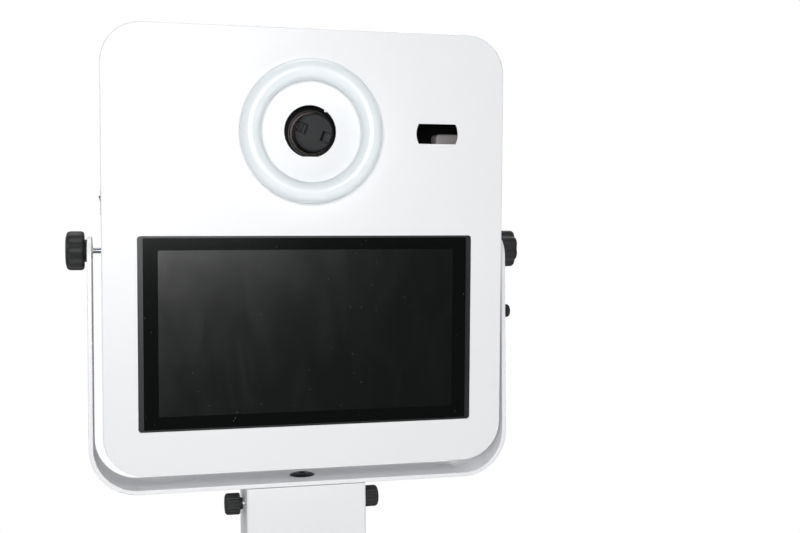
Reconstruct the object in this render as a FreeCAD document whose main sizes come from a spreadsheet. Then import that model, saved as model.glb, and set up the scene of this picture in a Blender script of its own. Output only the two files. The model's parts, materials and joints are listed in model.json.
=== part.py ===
import FreeCAD, Part
import math
import os

import Sketcher
from FreeCAD import Placement, Rotation, Vector

# Photo booth on a stand. Row frame: origin on the floor under the column, X to the right of
# a person facing the booth, Y away from that person, Z up. Millimetres throughout.

# Each size is a number, or a formula that ties it to other sizes.
SIZES = {
    # stand
    "base_width": (520, "base plate, side to side"),
    "base_depth": (460, "base plate, front to back"),
    "base_thick": (8, "base plate thickness"),
    "base_corner": (40, "base plate corner radius"),
    "foot_radius": (18, "rubber foot radius"),
    "foot_height": (8, "rubber foot height"),
    "column_width": (170, "column tube, side to side"),
    "column_depth": (94, "column tube, front to back"),
    "column_wall": (2, "column tube wall"),
    "column_corner": (4, "column tube outer corner radius"),
    "column_length": (1079, "column tube length"),
    "foot_plate_margin": (30, "foot plate stands out this far round the column"),
    "foot_plate_thick": (6, "foot plate thickness"),
    "column_bolt_radius": (5, "shank radius of the column bolts"),
    "clamp_drop": (26, "clamp knob axis below the column's top"),
    # mast
    "guide_side": (13, "gap between mast and column at each side"),
    "guide_front": (10, "gap between mast and column at front and back"),
    "mast_width": ("=column_width - 2 * (column_wall + guide_side)", "mast tube, side to side"),
    "mast_depth": ("=column_depth - 2 * (column_wall + guide_front)", "mast tube, front to back"),
    "mast_wall": (3, "mast tube wall"),
    "mast_length": (220, "mast tube length"),
    "mast_cap_thick": (3, "cap plate on the mast"),
    "guide_height": (40, "height of the mast's guide pads"),
    "pan_bolt_radius": (6, "pan bolt shank radius"),
    "pan_head_radius": (18, "pan bolt head radius"),
    "pan_head_thick": (4, "pan bolt head thickness"),
    "pan_washer_thick": (1, "pan washer thickness"),
    "pan_washer_radius": (34, "pan washer radius"),
    # yoke
    "yoke_width": (96, "yoke bar width, front to back"),
    "yoke_thick": (6, "yoke bar thickness"),
    "yoke_bend": (66, "outer radius of the yoke's bends"),
    "yoke_room": (27.5, "gap between the case's underside and the yoke"),
    "yoke_drop": ("=case_height / 2 - case_rise + yoke_room + yoke_thick", "pivot axis to yoke underside"),
    "arm_rise": (19, "arm top above the pivot axis"),
    "arm_corner": (32, "radius of the arm's top corners"),
    "arm_gap": (13.3, "gap between the case wall and an arm"),
    "bush_radius": (6, "pivot bush outer radius"),
    "slot_radius": (95, "tilt slot's radius about the pivot axis"),
    "slot_reach": (15.5, "degrees the tilt slot runs each way"),
    # pivot hardware
    "stud_radius": (4, "pivot and clamp stud radius"),
    "lock_stud_radius": (3, "tilt lock stud radius"),
    "knob_radius": (27.5, "pivot knob radius"),
    "knob_height": (25, "pivot knob height"),
    "knob_collar_radius": (15.5, "pivot knob collar radius"),
    "knob_collar": (4, "pivot knob collar height"),
    "clamp_knob_radius": (15.5, "clamp knob radius"),
    "clamp_knob_height": (21, "clamp knob height"),
    "lock_knob_radius": (10, "tilt lock knob radius"),
    "lock_knob_height": (20, "tilt lock knob height"),
    "pivot_plate": (3, "thickness of the pivot plates"),
    # head case
    "case_width": (556, "case, side to side"),
    "case_height": (606, "case height"),
    "case_depth": (175, "case, front to back"),
    "case_wall": (2, "case sheet thickness"),
    "case_corner": (55, "outer corner radius of the case's outline"),
    "case_edge": (2, "rounding of the case's front edge"),
    "case_rise": (2.5, "case centre above the pivot axis"),
    "pivot_setback": (87, "case front to the pivot axis"),
    "head_tilt": (3, "degrees the head leans forward at rest"),
    "door_margin": (30, "case outline to the door's edge"),
    "door_lap": (12, "door laps the rear opening by this much"),
    "door_thick": (2, "rear door sheet thickness"),
    # front features
    "feature_rise": (165.5, "lens hole, window and plug above the pivot axis"),
    "lens_hole_radius": (36, "lens hole radius"),
    "lens_hole_flat": (1.7, "flat at the lens hole's bottom cuts off this much"),
    "window_offset": (180.6, "window centre from the case centre"),
    "window_radius": (30.3, "radius of the window's round ends"),
    "window_half": (14, "half height of the window"),
    "plug_offset": (178, "blanking plug from the case centre"),
    "plug_radius": (14, "blanking plug radius"),
    "ring_outer": (98, "ring light outer radius"),
    "ring_tube": (14.5, "ring light tube section radius"),
    "ring_seat": (12.5, "ring light tube centre in front of the case"),
    "ring_wall": (2, "ring light diffuser wall"),
    # monitor
    "screen_drop": (109, "monitor centre below the pivot axis"),
    "screen_width": (464, "screen opening width"),
    "screen_height": (264, "screen opening height"),
    "screen_corner": (4.5, "screen opening corner radius"),
    "screen_gap": (0.75, "gap round the monitor frame"),
    "rim_width": (6.5, "monitor's side rims"),
    "glass_thick": (3.2, "touch glass thickness"),
    "lcd_side": (19, "screen opening to the LCD panel, at each side"),
    "lcd_top": (12, "screen opening to the LCD panel, above and below"),
    "lcd_width": ("=screen_width - 2 * lcd_side", "LCD panel width"),
    "lcd_height": ("=screen_height - 2 * lcd_top", "LCD panel height"),
    "back_cover_depth": (30, "monitor back cover depth"),
    "grille_length": (152, "perforated stretch of each rim"),
    "plate_setback": (58, "case front to the equipment plate"),
    "plate_width": (300, "equipment plate width"),
    # camera
    "lens_offset": (8.4, "lens axis from the case centre"),
    "lens_drop": (0.5, "lens axis below the lens hole's centre"),
    "cap_setback": (15, "case front to the lens cap's face"),
    "cap_radius": (27.2, "lens cap radius"),
    "cap_thick": (5, "lens cap thickness"),
    "cap_slant": (21, "degrees the cap's tab line falls to the right"),
    "tab_travel": (1.5, "travel of each pinch tab"),
    "barrel_radius": (34, "lens barrel radius"),
    "nose_radius": (27, "front tube of the lens, radius"),
    "camera_width": (130, "camera body width"),
    "camera_height": (96, "camera body height"),
    "camera_depth": (50, "camera body depth"),
    # fits
    "run_fit": (0.1, "radial clearance of a running fit"),
    "free_gap": (0.3, "clearance between parts that move apart"),
}

doc = FreeCAD.newDocument("photo_booth")
sheet = doc.addObject("Spreadsheet::Sheet", "sizes")
for row, alias in enumerate(SIZES, 1):
    sheet.set(f"A{row}", alias)
    sheet.setAlias(f"B{row}", alias)
for row, (value, meaning) in enumerate(SIZES.values(), 1):
    sheet.set(f"B{row}", str(value))
    sheet.set(f"C{row}", meaning)
doc.recompute()


class Size:
    """A number together with the sheet expression that it is bound to."""

    def __init__(self, number, text):
        self.number = float(number)
        self.text = text

    def join(self, other, sign, number):
        return Size(number, f"({self.text} {sign} {size(other).text})")

    def __add__(self, other):
        return self.join(other, "+", self.number + size(other).number)

    def __sub__(self, other):
        return self.join(other, "-", self.number - size(other).number)

    def __mul__(self, other):
        return self.join(other, "*", self.number * size(other).number)

    def __truediv__(self, other):
        return self.join(other, "/", self.number / size(other).number)

    def __radd__(self, other):
        return size(other) + self

    def __rsub__(self, other):
        return size(other) - self

    def __rmul__(self, other):
        return size(other) * self

    def __neg__(self):
        return Size(-self.number, f"(0 - {self.text})")


def size(value):
    return value if isinstance(value, Size) else Size(value, f"({value!r})")


def sine(angle):
    angle = size(angle)
    return Size(math.sin(math.radians(angle.number)), f"sin({angle.text} * 1 deg)")


def cosine(angle):
    angle = size(angle)
    return Size(math.cos(math.radians(angle.number)), f"cos({angle.text} * 1 deg)")


class Sheet:
    """Every alias of the sheet as a Size."""


s = Sheet()
for alias in SIZES:
    setattr(s, alias, Size(sheet.get(alias), f"sizes.{alias}"))

# ---------------------------------------------------------------- binding and primitives


def bind(thing, prop, value):
    thing.setExpression(prop, size(value).text)


def put(thing, place, turn=None):
    """Place an object; its position stays bound to the sheet, its turn is fixed."""
    spots = [size(value) for value in place]
    thing.Placement = Placement(Vector(*[spot.number for spot in spots]), turn or Rotation())
    for axis, spot in zip("xyz", spots):
        bind(thing, f"Placement.Base.{axis}", spot)
    return thing


ALONG = {
    "+Z": Rotation(),
    "-Z": Rotation(Vector(1, 0, 0), 180),
    "+X": Rotation(Vector(0, 1, 0), 90),
    "-X": Rotation(Vector(0, 1, 0), -90),
    "+Y": Rotation(Vector(1, 0, 0), -90),
    "-Y": Rotation(Vector(1, 0, 0), 90),
}
COUNT = {"made": 0}


def fresh(stem):
    COUNT["made"] += 1
    return f"{stem}_{COUNT['made']}"


def block(lengths, centre, turn=None):
    """A box by its lengths and the centre of its solid (its corner when it is turned)."""
    box = doc.addObject("Part::Box", fresh("block"))
    for prop, length in zip(("Length", "Width", "Height"), lengths):
        bind(box, prop, length)
    if turn:
        return put(box, centre, turn)
    return put(box, [size(c) - size(l) / 2 for c, l in zip(centre, lengths)])


def rod(radius, length, start, along="+Z"):
    cylinder = doc.addObject("Part::Cylinder", fresh("rod"))
    bind(cylinder, "Radius", radius)
    bind(cylinder, "Height", length)
    return put(cylinder, start, ALONG[along])


def hexagon(across_flats, length, start, along="+Z"):
    prism = doc.addObject("Part::Prism", fresh("hexagon"))
    prism.Polygon = 6
    bind(prism, "Circumradius", size(across_flats) / 2 / cosine(30))
    bind(prism, "Height", length)
    return put(prism, start, ALONG[along])


def fuse(*pieces):
    joined = doc.addObject("Part::MultiFuse", fresh("fuse"))
    joined.Shapes = list(pieces)
    return joined


def cut(base, *tools):
    made = doc.addObject("Part::Cut", fresh("cut"))
    made.Base = base
    made.Tool = tools[0] if len(tools) == 1 else fuse(*tools)
    return made


def common(one, other):
    made = doc.addObject("Part::Common", fresh("common"))
    made.Base = one
    made.Tool = other
    return made


def group(*pieces):
    """Separate solids kept as one node."""
    made = doc.addObject("Part::Compound", fresh("group"))
    made.Links = list(pieces)
    return made


def tube(outer, inner, length, start, along="+Z"):
    step = {"X": 0, "Y": 1, "Z": 2}[along[1]]
    back = list(start)
    back[step] = size(back[step]) - (1 if along[0] == "+" else -1)
    return cut(rod(outer, length, start, along), rod(inner, size(length) + 2, back, along))


# ---------------------------------------------------------------- sketched plates

PLANES = {"Z": "XY_Plane", "Y": "XZ_Plane", "X": "YZ_Plane"}


def sketch_on(body, axis, level):
    """A sketch square to an axis; on Y its normal points to -Y, towards the user."""
    sketch = body.newObject("Sketcher::SketchObject", fresh("outline"))
    plane = next(f for f in body.Origin.OriginFeatures if f.Role == PLANES[axis])
    sketch.AttachmentSupport = [(plane, "")]
    sketch.MapMode = "FlatFace"
    bind(sketch, "AttachmentOffset.Base.z", -size(level) if axis == "Y" else level)
    return sketch


def outline(sketch, corners):
    """Close a right-angled outline; each corner is (x, y, radius), the first run along x."""
    corners = [tuple(size(value) for value in corner) for corner in corners]
    count = len(corners)
    spots = [Vector(x.number, y.number, 0) for x, y, _ in corners]
    ways = [(spots[(i + 1) % count] - spots[i]).normalize() for i in range(count)]
    starts = [spots[i] + ways[i] * corners[i][2].number for i in range(count)]
    ends = [spots[(i + 1) % count] - ways[i] * corners[(i + 1) % count][2].number for i in range(count)]
    runs = [sketch.addGeometry(Part.LineSegment(starts[i], ends[i])) for i in range(count)]
    for i, run in enumerate(runs):
        level = abs(ways[i].x) > abs(ways[i].y)
        sketch.addConstraint(Sketcher.Constraint("Horizontal" if level else "Vertical", run))
        kind, value = ("DistanceY", corners[i][1]) if level else ("DistanceX", corners[i][0])
        index = sketch.addConstraint(Sketcher.Constraint(kind, -1, 1, run, 1, value.number))
        bind(sketch, f"Constraints[{index}]", value)
    for i, run in enumerate(runs):
        last, radius = runs[i - 1], corners[i][2]
        if radius.number == 0:
            sketch.addConstraint(Sketcher.Constraint("Coincident", last, 2, run, 1))
            continue
        centre = spots[i] + (ways[i] - ways[i - 1]) * radius.number
        left = ways[i - 1].x * ways[i].y - ways[i - 1].y * ways[i].x > 0
        first, second = (ends[i - 1], starts[i]) if left else (starts[i], ends[i - 1])
        angles = [math.atan2(p.y - centre.y, p.x - centre.x) for p in (first, second)]
        circle = Part.Circle(centre, Vector(0, 0, 1), radius.number)
        arc = sketch.addGeometry(Part.ArcOfCircle(circle, *angles))
        head, tail = (1, 2) if left else (2, 1)
        sketch.addConstraint(Sketcher.Constraint("Tangent", last, 2, arc, head))
        sketch.addConstraint(Sketcher.Constraint("Tangent", arc, tail, run, 1))
        index = sketch.addConstraint(Sketcher.Constraint("Radius", arc, radius.number))
        bind(sketch, f"Constraints[{index}]", radius)


def polygon(sketch, points):
    """Close a straight-sided outline with every corner set from the sheet."""
    points = [tuple(size(value) for value in point) for point in points]
    spots = [Vector(x.number, y.number, 0) for x, y in points]
    runs = [
        sketch.addGeometry(Part.LineSegment(spots[i], spots[(i + 1) % len(spots)]))
        for i in range(len(spots))
    ]
    for i, run in enumerate(runs):
        sketch.addConstraint(Sketcher.Constraint("Coincident", runs[i - 1], 2, run, 1))
        for kind, value in zip(("DistanceX", "DistanceY"), points[i]):
            index = sketch.addConstraint(Sketcher.Constraint(kind, -1, 1, run, 1, value.number))
            bind(sketch, f"Constraints[{index}]", value)


def rectangle(width, height, radius, across=0, up=0):
    """Corners of a rounded rectangle about (across, up)."""
    half_w, half_h = size(width) / 2, size(height) / 2
    left, right = size(across) - half_w, size(across) + half_w
    low, high = size(up) - half_h, size(up) + half_h
    return [(left, low, radius), (right, low, radius), (right, high, radius), (left, high, radius)]


def plate(axis, level, thick, corners, shape=outline):
    """Pad an outline; along Y it grows from level towards -Y, else along the axis."""
    body = doc.addObject("PartDesign::Body", fresh("body"))
    sketch = sketch_on(body, axis, level)
    shape(sketch, corners)
    pad = body.newObject("PartDesign::Pad", fresh("pad"))
    pad.Profile = sketch
    bind(pad, "Length", thick)
    sketch.Visibility = False
    return body


def round_edges(body, radius, chosen):
    """Round the edges of a body that the test picks."""
    doc.recompute()
    base = body.Tip
    names = [f"Edge{i}" for i, edge in enumerate(base.Shape.Edges, 1) if chosen(edge)]
    if not names:
        raise RuntimeError(f"{body.Name}: no edge to round")
    fillet = body.newObject("PartDesign::Fillet", fresh("rounding"))
    fillet.Base = (base, names)
    bind(fillet, "Radius", radius)
    return body


def lies_at(edge, axis, level):
    """True if the whole edge lies in the plane square to the axis at that level."""
    box, near = edge.BoundBox, 1e-3
    low, high = getattr(box, f"{axis}Min"), getattr(box, f"{axis}Max")
    return abs(low - level) < near and abs(high - level) < near


# ---------------------------------------------------------------- nodes and their places

NODES = {}


def name_node(name, thing):
    thing.Label = name
    NODES[name] = thing
    return thing


foot_top = s.foot_height
base_top = foot_top + s.base_thick
column_foot = base_top + s.foot_plate_thick
column_top = column_foot + s.column_length
cap_top = column_top + s.mast_cap_thick
yoke_under = cap_top + s.pan_washer_thick
pivot_height = yoke_under + s.yoke_drop

# head frame: origin on the pivot axis at mid width, before the head is tilted
front = -s.pivot_setback
rear = s.case_depth - s.pivot_setback
wall_half = s.case_width / 2
arm_inner = wall_half + s.arm_gap
arm_outer = arm_inner + s.yoke_thick
screen_mid = -s.screen_drop
lens_axis = s.feature_rise - s.lens_drop

# bought parts that more than one maker has to fit
rivet_radius = size(5.5)
rivet_flange = size(1.5)
rivet_depth = size(9)
weld_nut_height = size(8)
rocker_setback, rocker_rise = s.pivot_setback, size(66)
rocker_body = (size(19), size(27))
inlet_setback, inlet_rise = s.case_depth - 22, size(-205)
inlet_body = (size(20), size(27))
lock_barrel_radius = size(8)
lock_offset = wall_half - s.door_margin - s.door_lap - 14
lens_rim = size(4)

# cutters reach this much past the faces that they open, and joined pieces this much into each other
over = size(1)


def at_depth(setback):
    """Y in the head frame of a point this far behind the case front."""
    return size(setback) + front


def settled(thing):
    """A primitive keeps its own place inside a compound, so that the compound can be moved."""
    return thing if thing.Placement.isIdentity() else group(thing)


def on_head(name, thing):
    """Name a piece of the head and tilt it about the pivot axis."""
    thing = settled(thing)
    put(thing, (0, 0, pivot_height), Rotation(Vector(1, 0, 0), s.head_tilt.number))
    bind(thing, "Placement.Rotation.Angle", s.head_tilt)
    return name_node(name, thing)


def on_pivot(name, thing):
    """Name a piece of the yoke that is drawn about the pivot axis, without tilt."""
    thing = settled(thing)
    put(thing, (0, 0, pivot_height))
    return name_node(name, thing)


# ---------------------------------------------------------------- stand


def make_stand():
    base = plate("Z", foot_top, s.base_thick, rectangle(s.base_width, s.base_depth, s.base_corner))
    bolt_x = s.column_width / 2 + s.foot_plate_margin / 2
    bolt_y = s.column_depth / 2 + s.foot_plate_margin / 2
    corners = [(i, j) for i in (-1, 1) for j in (-1, 1)]
    holes = [
        rod(s.column_bolt_radius, s.base_thick + over * 2, (i * bolt_x, j * bolt_y, foot_top - over))
        for i, j in corners
    ]
    name_node("base_plate", cut(base, *holes))

    foot_x = s.base_width / 2 - s.base_corner
    foot_y = s.base_depth / 2 - s.base_corner
    feet = [rod(s.foot_radius, s.foot_height, (i * foot_x, j * foot_y, 0)) for i, j in corners]
    name_node("base_feet", group(*feet))

    margin = s.foot_plate_margin * 2
    foot = plate("Z", base_top, s.foot_plate_thick,
                 rectangle(s.column_width + margin, s.column_depth + margin, s.column_corner * 2))
    holes = [
        rod(s.column_bolt_radius, s.foot_plate_thick + over * 2, (i * bolt_x, j * bolt_y, base_top - over))
        for i, j in corners
    ]
    name_node("column_foot_plate", cut(foot, *holes))

    head_height, head_flats = 6, 16
    grip = s.base_thick + s.foot_plate_thick
    bolts = [
        fuse(hexagon(head_flats, head_height, (i * bolt_x, j * bolt_y, column_foot)),
             rod(s.column_bolt_radius, grip, (i * bolt_x, j * bolt_y, foot_top)))
        for i, j in corners
    ]
    name_node("column_bolts", group(*bolts))

    outer = plate("Z", column_foot, s.column_length,
                  rectangle(s.column_width, s.column_depth, s.column_corner))
    wall = s.column_wall * 2
    bore = plate("Z", column_foot - over, s.column_length + over * 2,
                 rectangle(s.column_width - wall, s.column_depth - wall, s.column_corner - s.column_wall))
    axis = column_top - s.clamp_drop
    nut_hole = rod(rivet_radius, s.column_width + over * 2, (-s.column_width / 2 - over, 0, axis), "+X")
    name_node("column", cut(outer, bore, nut_hole))

    nuts, flange_lap = [], 2
    for side, along in ((-1, "-X"), (1, "+X")):
        face = side * s.column_width / 2
        nut = fuse(rod(rivet_radius + flange_lap, rivet_flange, (face, 0, axis), along),
                   rod(rivet_radius, rivet_depth, (face - side * rivet_depth, 0, axis), along))
        thread = rod(s.stud_radius + s.run_fit, 2 * rivet_depth,
                     (face - side * (rivet_depth + over), 0, axis), along)
        nuts.append(cut(nut, thread))
    name_node("clamp_rivet_nuts", group(*nuts))


# ---------------------------------------------------------------- mast and pan bolt


def make_mast():
    outer = plate("Z", column_top - s.mast_length, s.mast_length,
                  rectangle(s.mast_width, s.mast_depth, s.mast_wall * 1.5))
    inner = s.mast_wall * 2
    bore = plate("Z", column_top - s.mast_length - over, s.mast_length + over * 2,
                 rectangle(s.mast_width - inner, s.mast_depth - inner, s.mast_wall / 2))
    name_node("mast_tube", cut(outer, bore))

    cap = plate("Z", column_top, s.mast_cap_thick,
                rectangle(s.column_width, s.column_depth, s.column_corner))
    hole = rod(s.pan_bolt_radius, s.mast_cap_thick + over * 2, (0, 0, column_top - over))
    name_node("mast_cap", cut(cap, hole))

    room_x = (s.column_width - s.mast_width) / 2 - s.column_wall - s.free_gap
    room_y = (s.column_depth - s.mast_depth) / 2 - s.column_wall - s.free_gap
    strip, strip_place = s.mast_depth / 4, s.mast_depth * 0.35
    pad_width = s.mast_width * 0.6
    pads = []
    for level in (column_top - s.mast_length + s.guide_height, column_top - s.guide_height):
        for side in (-1, 1):
            across = side * (s.mast_width / 2 + room_x / 2)
            pads += [
                block((room_x, strip, s.guide_height), (across, j * strip_place, level))
                for j in (-1, 1)
            ]
            deep = side * (s.mast_depth / 2 + room_y / 2)
            pads.append(block((pad_width, room_y, s.guide_height), (0, deep, level)))
    name_node("mast_guides", group(*pads))

    head_under = yoke_under + s.yoke_thick + s.run_fit
    nut_height, nut_flats, socket_flats, thread_past = size(10), size(19), size(10), size(6)
    shank_end = column_top - nut_height - thread_past
    bolt = fuse(rod(s.pan_head_radius, s.pan_head_thick, (0, 0, head_under)),
                rod(s.pan_bolt_radius, head_under - shank_end, (0, 0, shank_end)))
    socket = hexagon(socket_flats, s.pan_head_thick, (0, 0, head_under + s.pan_head_thick / 4))
    name_node("pan_bolt", cut(bolt, socket))
    nut = hexagon(nut_flats, nut_height, (0, 0, column_top - nut_height))
    thread = rod(s.pan_bolt_radius, nut_height + over * 2, (0, 0, column_top - nut_height - over))
    name_node("pan_nut", cut(nut, thread))
    name_node("pan_washer", tube(s.pan_washer_radius, s.pan_bolt_radius + s.free_gap,
                                 s.pan_washer_thick - s.run_fit, (0, 0, cap_top)))


# ---------------------------------------------------------------- yoke


def make_yoke():
    """U-shaped bar about the pivot axis, with bolt hole, bush holes and tilt slot."""
    low, high, bend = -s.yoke_drop, s.arm_rise, s.yoke_bend
    inner_bend = bend - s.yoke_thick
    floor = low + s.yoke_thick
    corners = [
        (-arm_outer, low, bend), (arm_outer, low, bend),
        (arm_outer, high, 0), (arm_inner, high, 0),
        (arm_inner, floor, inner_bend), (-arm_inner, floor, inner_bend),
        (-arm_inner, high, 0), (-arm_outer, high, 0),
    ]
    half = s.yoke_width / 2
    bar = plate("Y", half, s.yoke_width, corners)
    top, edge_y = high.number, half.number

    def top_corner(edge):
        return lies_at(edge, "Z", top) and (lies_at(edge, "Y", edge_y) or lies_at(edge, "Y", -edge_y))

    round_edges(bar, s.arm_corner, top_corner)

    def face_edge(edge):
        box = edge.BoundBox
        return lies_at(edge, "Y", -edge_y) and box.DiagonalLength > s.yoke_thick.number * 1.5

    round_edges(bar, s.yoke_thick / 5, face_edge)

    reach = 2 * (arm_outer + over)
    bush_holes = rod(s.bush_radius, reach, (-arm_outer - over, 0, 0), "+X")
    pan_hole = rod(s.pan_bolt_radius + s.run_fit, s.yoke_thick + over * 2, (0, 0, low - over))
    on_pivot("yoke", cut(bar, bush_holes, pan_hole, tilt_slot()))

    flange, flange_radius = size(1), s.bush_radius + 3
    bore = s.stud_radius + s.run_fit
    bushes = []
    for side, along in ((-1, "-X"), (1, "+X")):
        inner = side * arm_inner
        sleeve = fuse(rod(s.bush_radius, s.yoke_thick, (inner, 0, 0), along),
                      rod(flange_radius, flange, (inner - side * flange, 0, 0), along))
        bore_start = inner - side * (flange + over)
        bushes.append(cut(sleeve, rod(bore, s.yoke_thick + flange + over * 2, (bore_start, 0, 0), along)))
    on_pivot("pivot_bushes", group(*bushes))


def tilt_slot():
    """Arc slot through the right arm, centred straight below the pivot axis."""
    half = s.lock_stud_radius + s.free_gap
    start = (arm_inner - over, 0, 0)
    length = s.yoke_thick + over * 2
    sector = doc.addObject("Part::Cylinder", fresh("sector"))
    bind(sector, "Radius", s.slot_radius + half)
    bind(sector, "Height", length)
    bind(sector, "Angle", s.slot_reach * 2)
    turn = Rotation(Vector(1, 0, 0), -s.slot_reach.number).multiply(ALONG["+X"])
    put(sector, start, turn)
    band = cut(sector, rod(s.slot_radius - half, length + over * 2, (arm_inner - over * 2, 0, 0), "+X"))
    ends = [
        rod(half, length, (arm_inner - over, side * s.slot_radius * sine(s.slot_reach),
                           -s.slot_radius * cosine(s.slot_reach)), "+X")
        for side in (-1, 1)
    ]
    return fuse(band, *ends)


# ---------------------------------------------------------------- knobs


def lobed_knob(radius, height, collar_radius, collar, lobes, scallop, depth):
    """Knob along +Z from its collar's face at z = 0, with scallops round its rim."""
    radius, collar = size(radius), size(collar)
    crown = radius * 2.2
    disc = rod(radius, height, (0, 0, collar))
    dome = doc.addObject("Part::Sphere", fresh("dome"))
    bind(dome, "Radius", crown)
    put(dome, (0, 0, collar + height - crown))
    crowned = common(disc, dome)
    ring = radius + scallop - depth
    tools = []
    for i in range(lobes):
        angle = 360 * i / lobes
        place = (ring * cosine(angle), ring * sine(angle), collar - over)
        tools.append(rod(scallop, height + over * 2, place))
    return fuse(cut(crowned, *tools), rod(collar_radius, collar + over, (0, 0, 0)))


def make_pivot_knobs():
    hub = s.knob_height / 2 + s.knob_collar
    nut_inner = wall_half - s.case_wall - s.pivot_plate - weld_nut_height
    lobes, scallop, scallop_depth, thread_past = 7, 9, 3.5, 3
    for word, side, along in (("left", -1, "-X"), ("right", 1, "+X")):
        knob = lobed_knob(s.knob_radius, s.knob_height, s.knob_collar_radius, s.knob_collar,
                          lobes, scallop, scallop_depth)
        socket = rod(s.stud_radius, hub + over, (0, 0, -over))
        seat = side * (arm_outer + s.run_fit)
        knob = cut(knob, socket)
        put(knob, (seat, 0, pivot_height), ALONG[along])
        name_node(f"pivot_knob_{word}", knob)
        inner_end = nut_inner - thread_past
        length = arm_outer + s.run_fit + hub - inner_end
        stud = rod(s.stud_radius, length, (side * inner_end, 0, pivot_height), along)
        name_node(f"pivot_stud_{word}", stud)


def make_clamp_knobs():
    axis = column_top - s.clamp_drop
    face = s.column_width / 2 + rivet_flange + s.run_fit
    stud_length = face - s.mast_width / 2 - s.free_gap
    collar_radius, collar, lobes, scallop, scallop_depth = s.clamp_knob_radius * 0.55, 4, 12, 2.5, 1
    for word, side, along in (("left", -1, "-X"), ("right", 1, "+X")):
        knob = lobed_knob(s.clamp_knob_radius, s.clamp_knob_height, collar_radius, collar,
                          lobes, scallop, scallop_depth)
        knob = fuse(knob, rod(s.stud_radius, stud_length + over, (0, 0, -stud_length)))
        put(knob, (side * face, 0, axis), ALONG[along])
        name_node(f"clamp_knob_{word}", knob)


def make_tilt_lock():
    """Thumb knob whose stud passes the tilt slot into a weld nut in the case wall."""
    seat = arm_outer + s.run_fit
    collar_radius, collar, lobes, scallop, scallop_depth = s.lock_knob_radius * 0.6, 4, 10, 2, 0.8
    length = seat - (wall_half - s.case_wall - weld_nut_height)
    knob = lobed_knob(s.lock_knob_radius, s.lock_knob_height, collar_radius, collar,
                      lobes, scallop, scallop_depth)
    knob = fuse(knob, rod(s.lock_stud_radius, length + over, (0, 0, -length)))
    put(knob, (seat, s.slot_radius * sine(s.head_tilt),
               pivot_height - s.slot_radius * cosine(s.head_tilt)), ALONG["+X"])
    name_node("tilt_lock_knob", knob)


# ---------------------------------------------------------------- head case


def flatted(radius, low, high, depth, thick, across, up):
    """Cutter along Y: a circle clipped to the heights low and high about its centre."""
    round_part = rod(radius, thick, (across, depth, up), "+Y")
    band = block((size(radius) * 2 + over, size(thick) + over, size(high) - low),
                 (across, size(depth) + size(thick) / 2, size(up) + (size(high) + low) / 2))
    return common(round_part, band)


def make_head_shell():
    wall = s.case_wall
    outer = plate("Y", rear, s.case_depth,
                  rectangle(s.case_width, s.case_height, s.case_corner, 0, s.case_rise))
    front_y = front.number
    round_edges(outer, s.case_edge, lambda edge: lies_at(edge, "Y", front_y))
    cavity = plate("Y", rear - wall, s.case_depth - wall * 2,
                   rectangle(s.case_width - wall * 2, s.case_height - wall * 2,
                             s.case_corner - wall, 0, s.case_rise))
    inset = (s.door_margin + s.door_lap) * 2
    doorway = plate("Y", rear + over, wall + over * 2,
                    rectangle(s.case_width - inset, s.case_height - inset, s.case_corner / 2, 0, s.case_rise))
    through, ahead = wall + over * 2, front - over
    screen = plate("Y", ahead + through, through,
                   rectangle(s.screen_width, s.screen_height, s.screen_corner, 0, screen_mid))
    lens = flatted(s.lens_hole_radius, s.lens_hole_flat - s.lens_hole_radius, s.lens_hole_radius,
                   ahead, through, 0, s.feature_rise)
    window = flatted(s.window_radius, -s.window_half, s.window_half,
                     ahead, through, s.window_offset, s.feature_rise)
    plug = rod(s.plug_radius + s.run_fit, through, (-s.plug_offset, ahead, s.feature_rise), "+Y")
    pivots = rod(s.stud_radius + s.run_fit, s.case_width + over * 2, (-wall_half - over, 0, 0), "+X")
    lock = rod(s.lock_stud_radius + s.run_fit, through, (wall_half - wall - over, 0, -s.slot_radius), "+X")
    switch = block((through, rocker_body[0], rocker_body[1]),
                   (-wall_half + wall / 2, at_depth(rocker_setback), rocker_rise))
    inlet = block((through, inlet_body[0], inlet_body[1]),
                  (wall_half - wall / 2, at_depth(inlet_setback), inlet_rise))
    shell = cut(outer, cavity, doorway, screen, lens, window, plug, pivots, lock, switch, inlet)
    on_head("head_shell", shell)

    sheet_face = wall_half - wall
    plate_deep, plate_tall, plate_mid = size(70), size(90), sheet_face - s.pivot_plate / 2
    plates = [
        cut(block((s.pivot_plate, plate_deep, plate_tall), (side * plate_mid, 0, 0)),
            rod(s.stud_radius + s.run_fit, s.pivot_plate + over * 2,
                (side * plate_mid - s.pivot_plate / 2 - over, 0, 0), "+X"))
        for side in (-1, 1)
    ]
    on_head("pivot_plates", group(*plates))
    plate_face = sheet_face - s.pivot_plate
    seats = [(-1, "+X", plate_face, s.stud_radius, 0), (1, "-X", plate_face, s.stud_radius, 0),
             (1, "-X", sheet_face, s.lock_stud_radius, -s.slot_radius)]
    flats_per_stud = 3.25
    nuts = [
        cut(hexagon(stud * flats_per_stud, weld_nut_height, (side * face, 0, up), along),
            rod(stud + s.run_fit, weld_nut_height + over * 2, (side * (face + over), 0, up), along))
        for side, along, face, stud, up in seats
    ]
    on_head("weld_nuts", group(*nuts))

    flange_lap, flange_thick, sunk = size(4), size(1.5), wall / 2
    boss = rod(s.plug_radius, wall - sunk, (-s.plug_offset, front + sunk, s.feature_rise), "+Y")
    flange_place = (-s.plug_offset, front + wall, s.feature_rise)
    flange = rod(s.plug_radius + flange_lap, flange_thick, flange_place, "+Y")
    on_head("blanking_plug", fuse(boss, flange))


# ---------------------------------------------------------------- rear door


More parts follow.
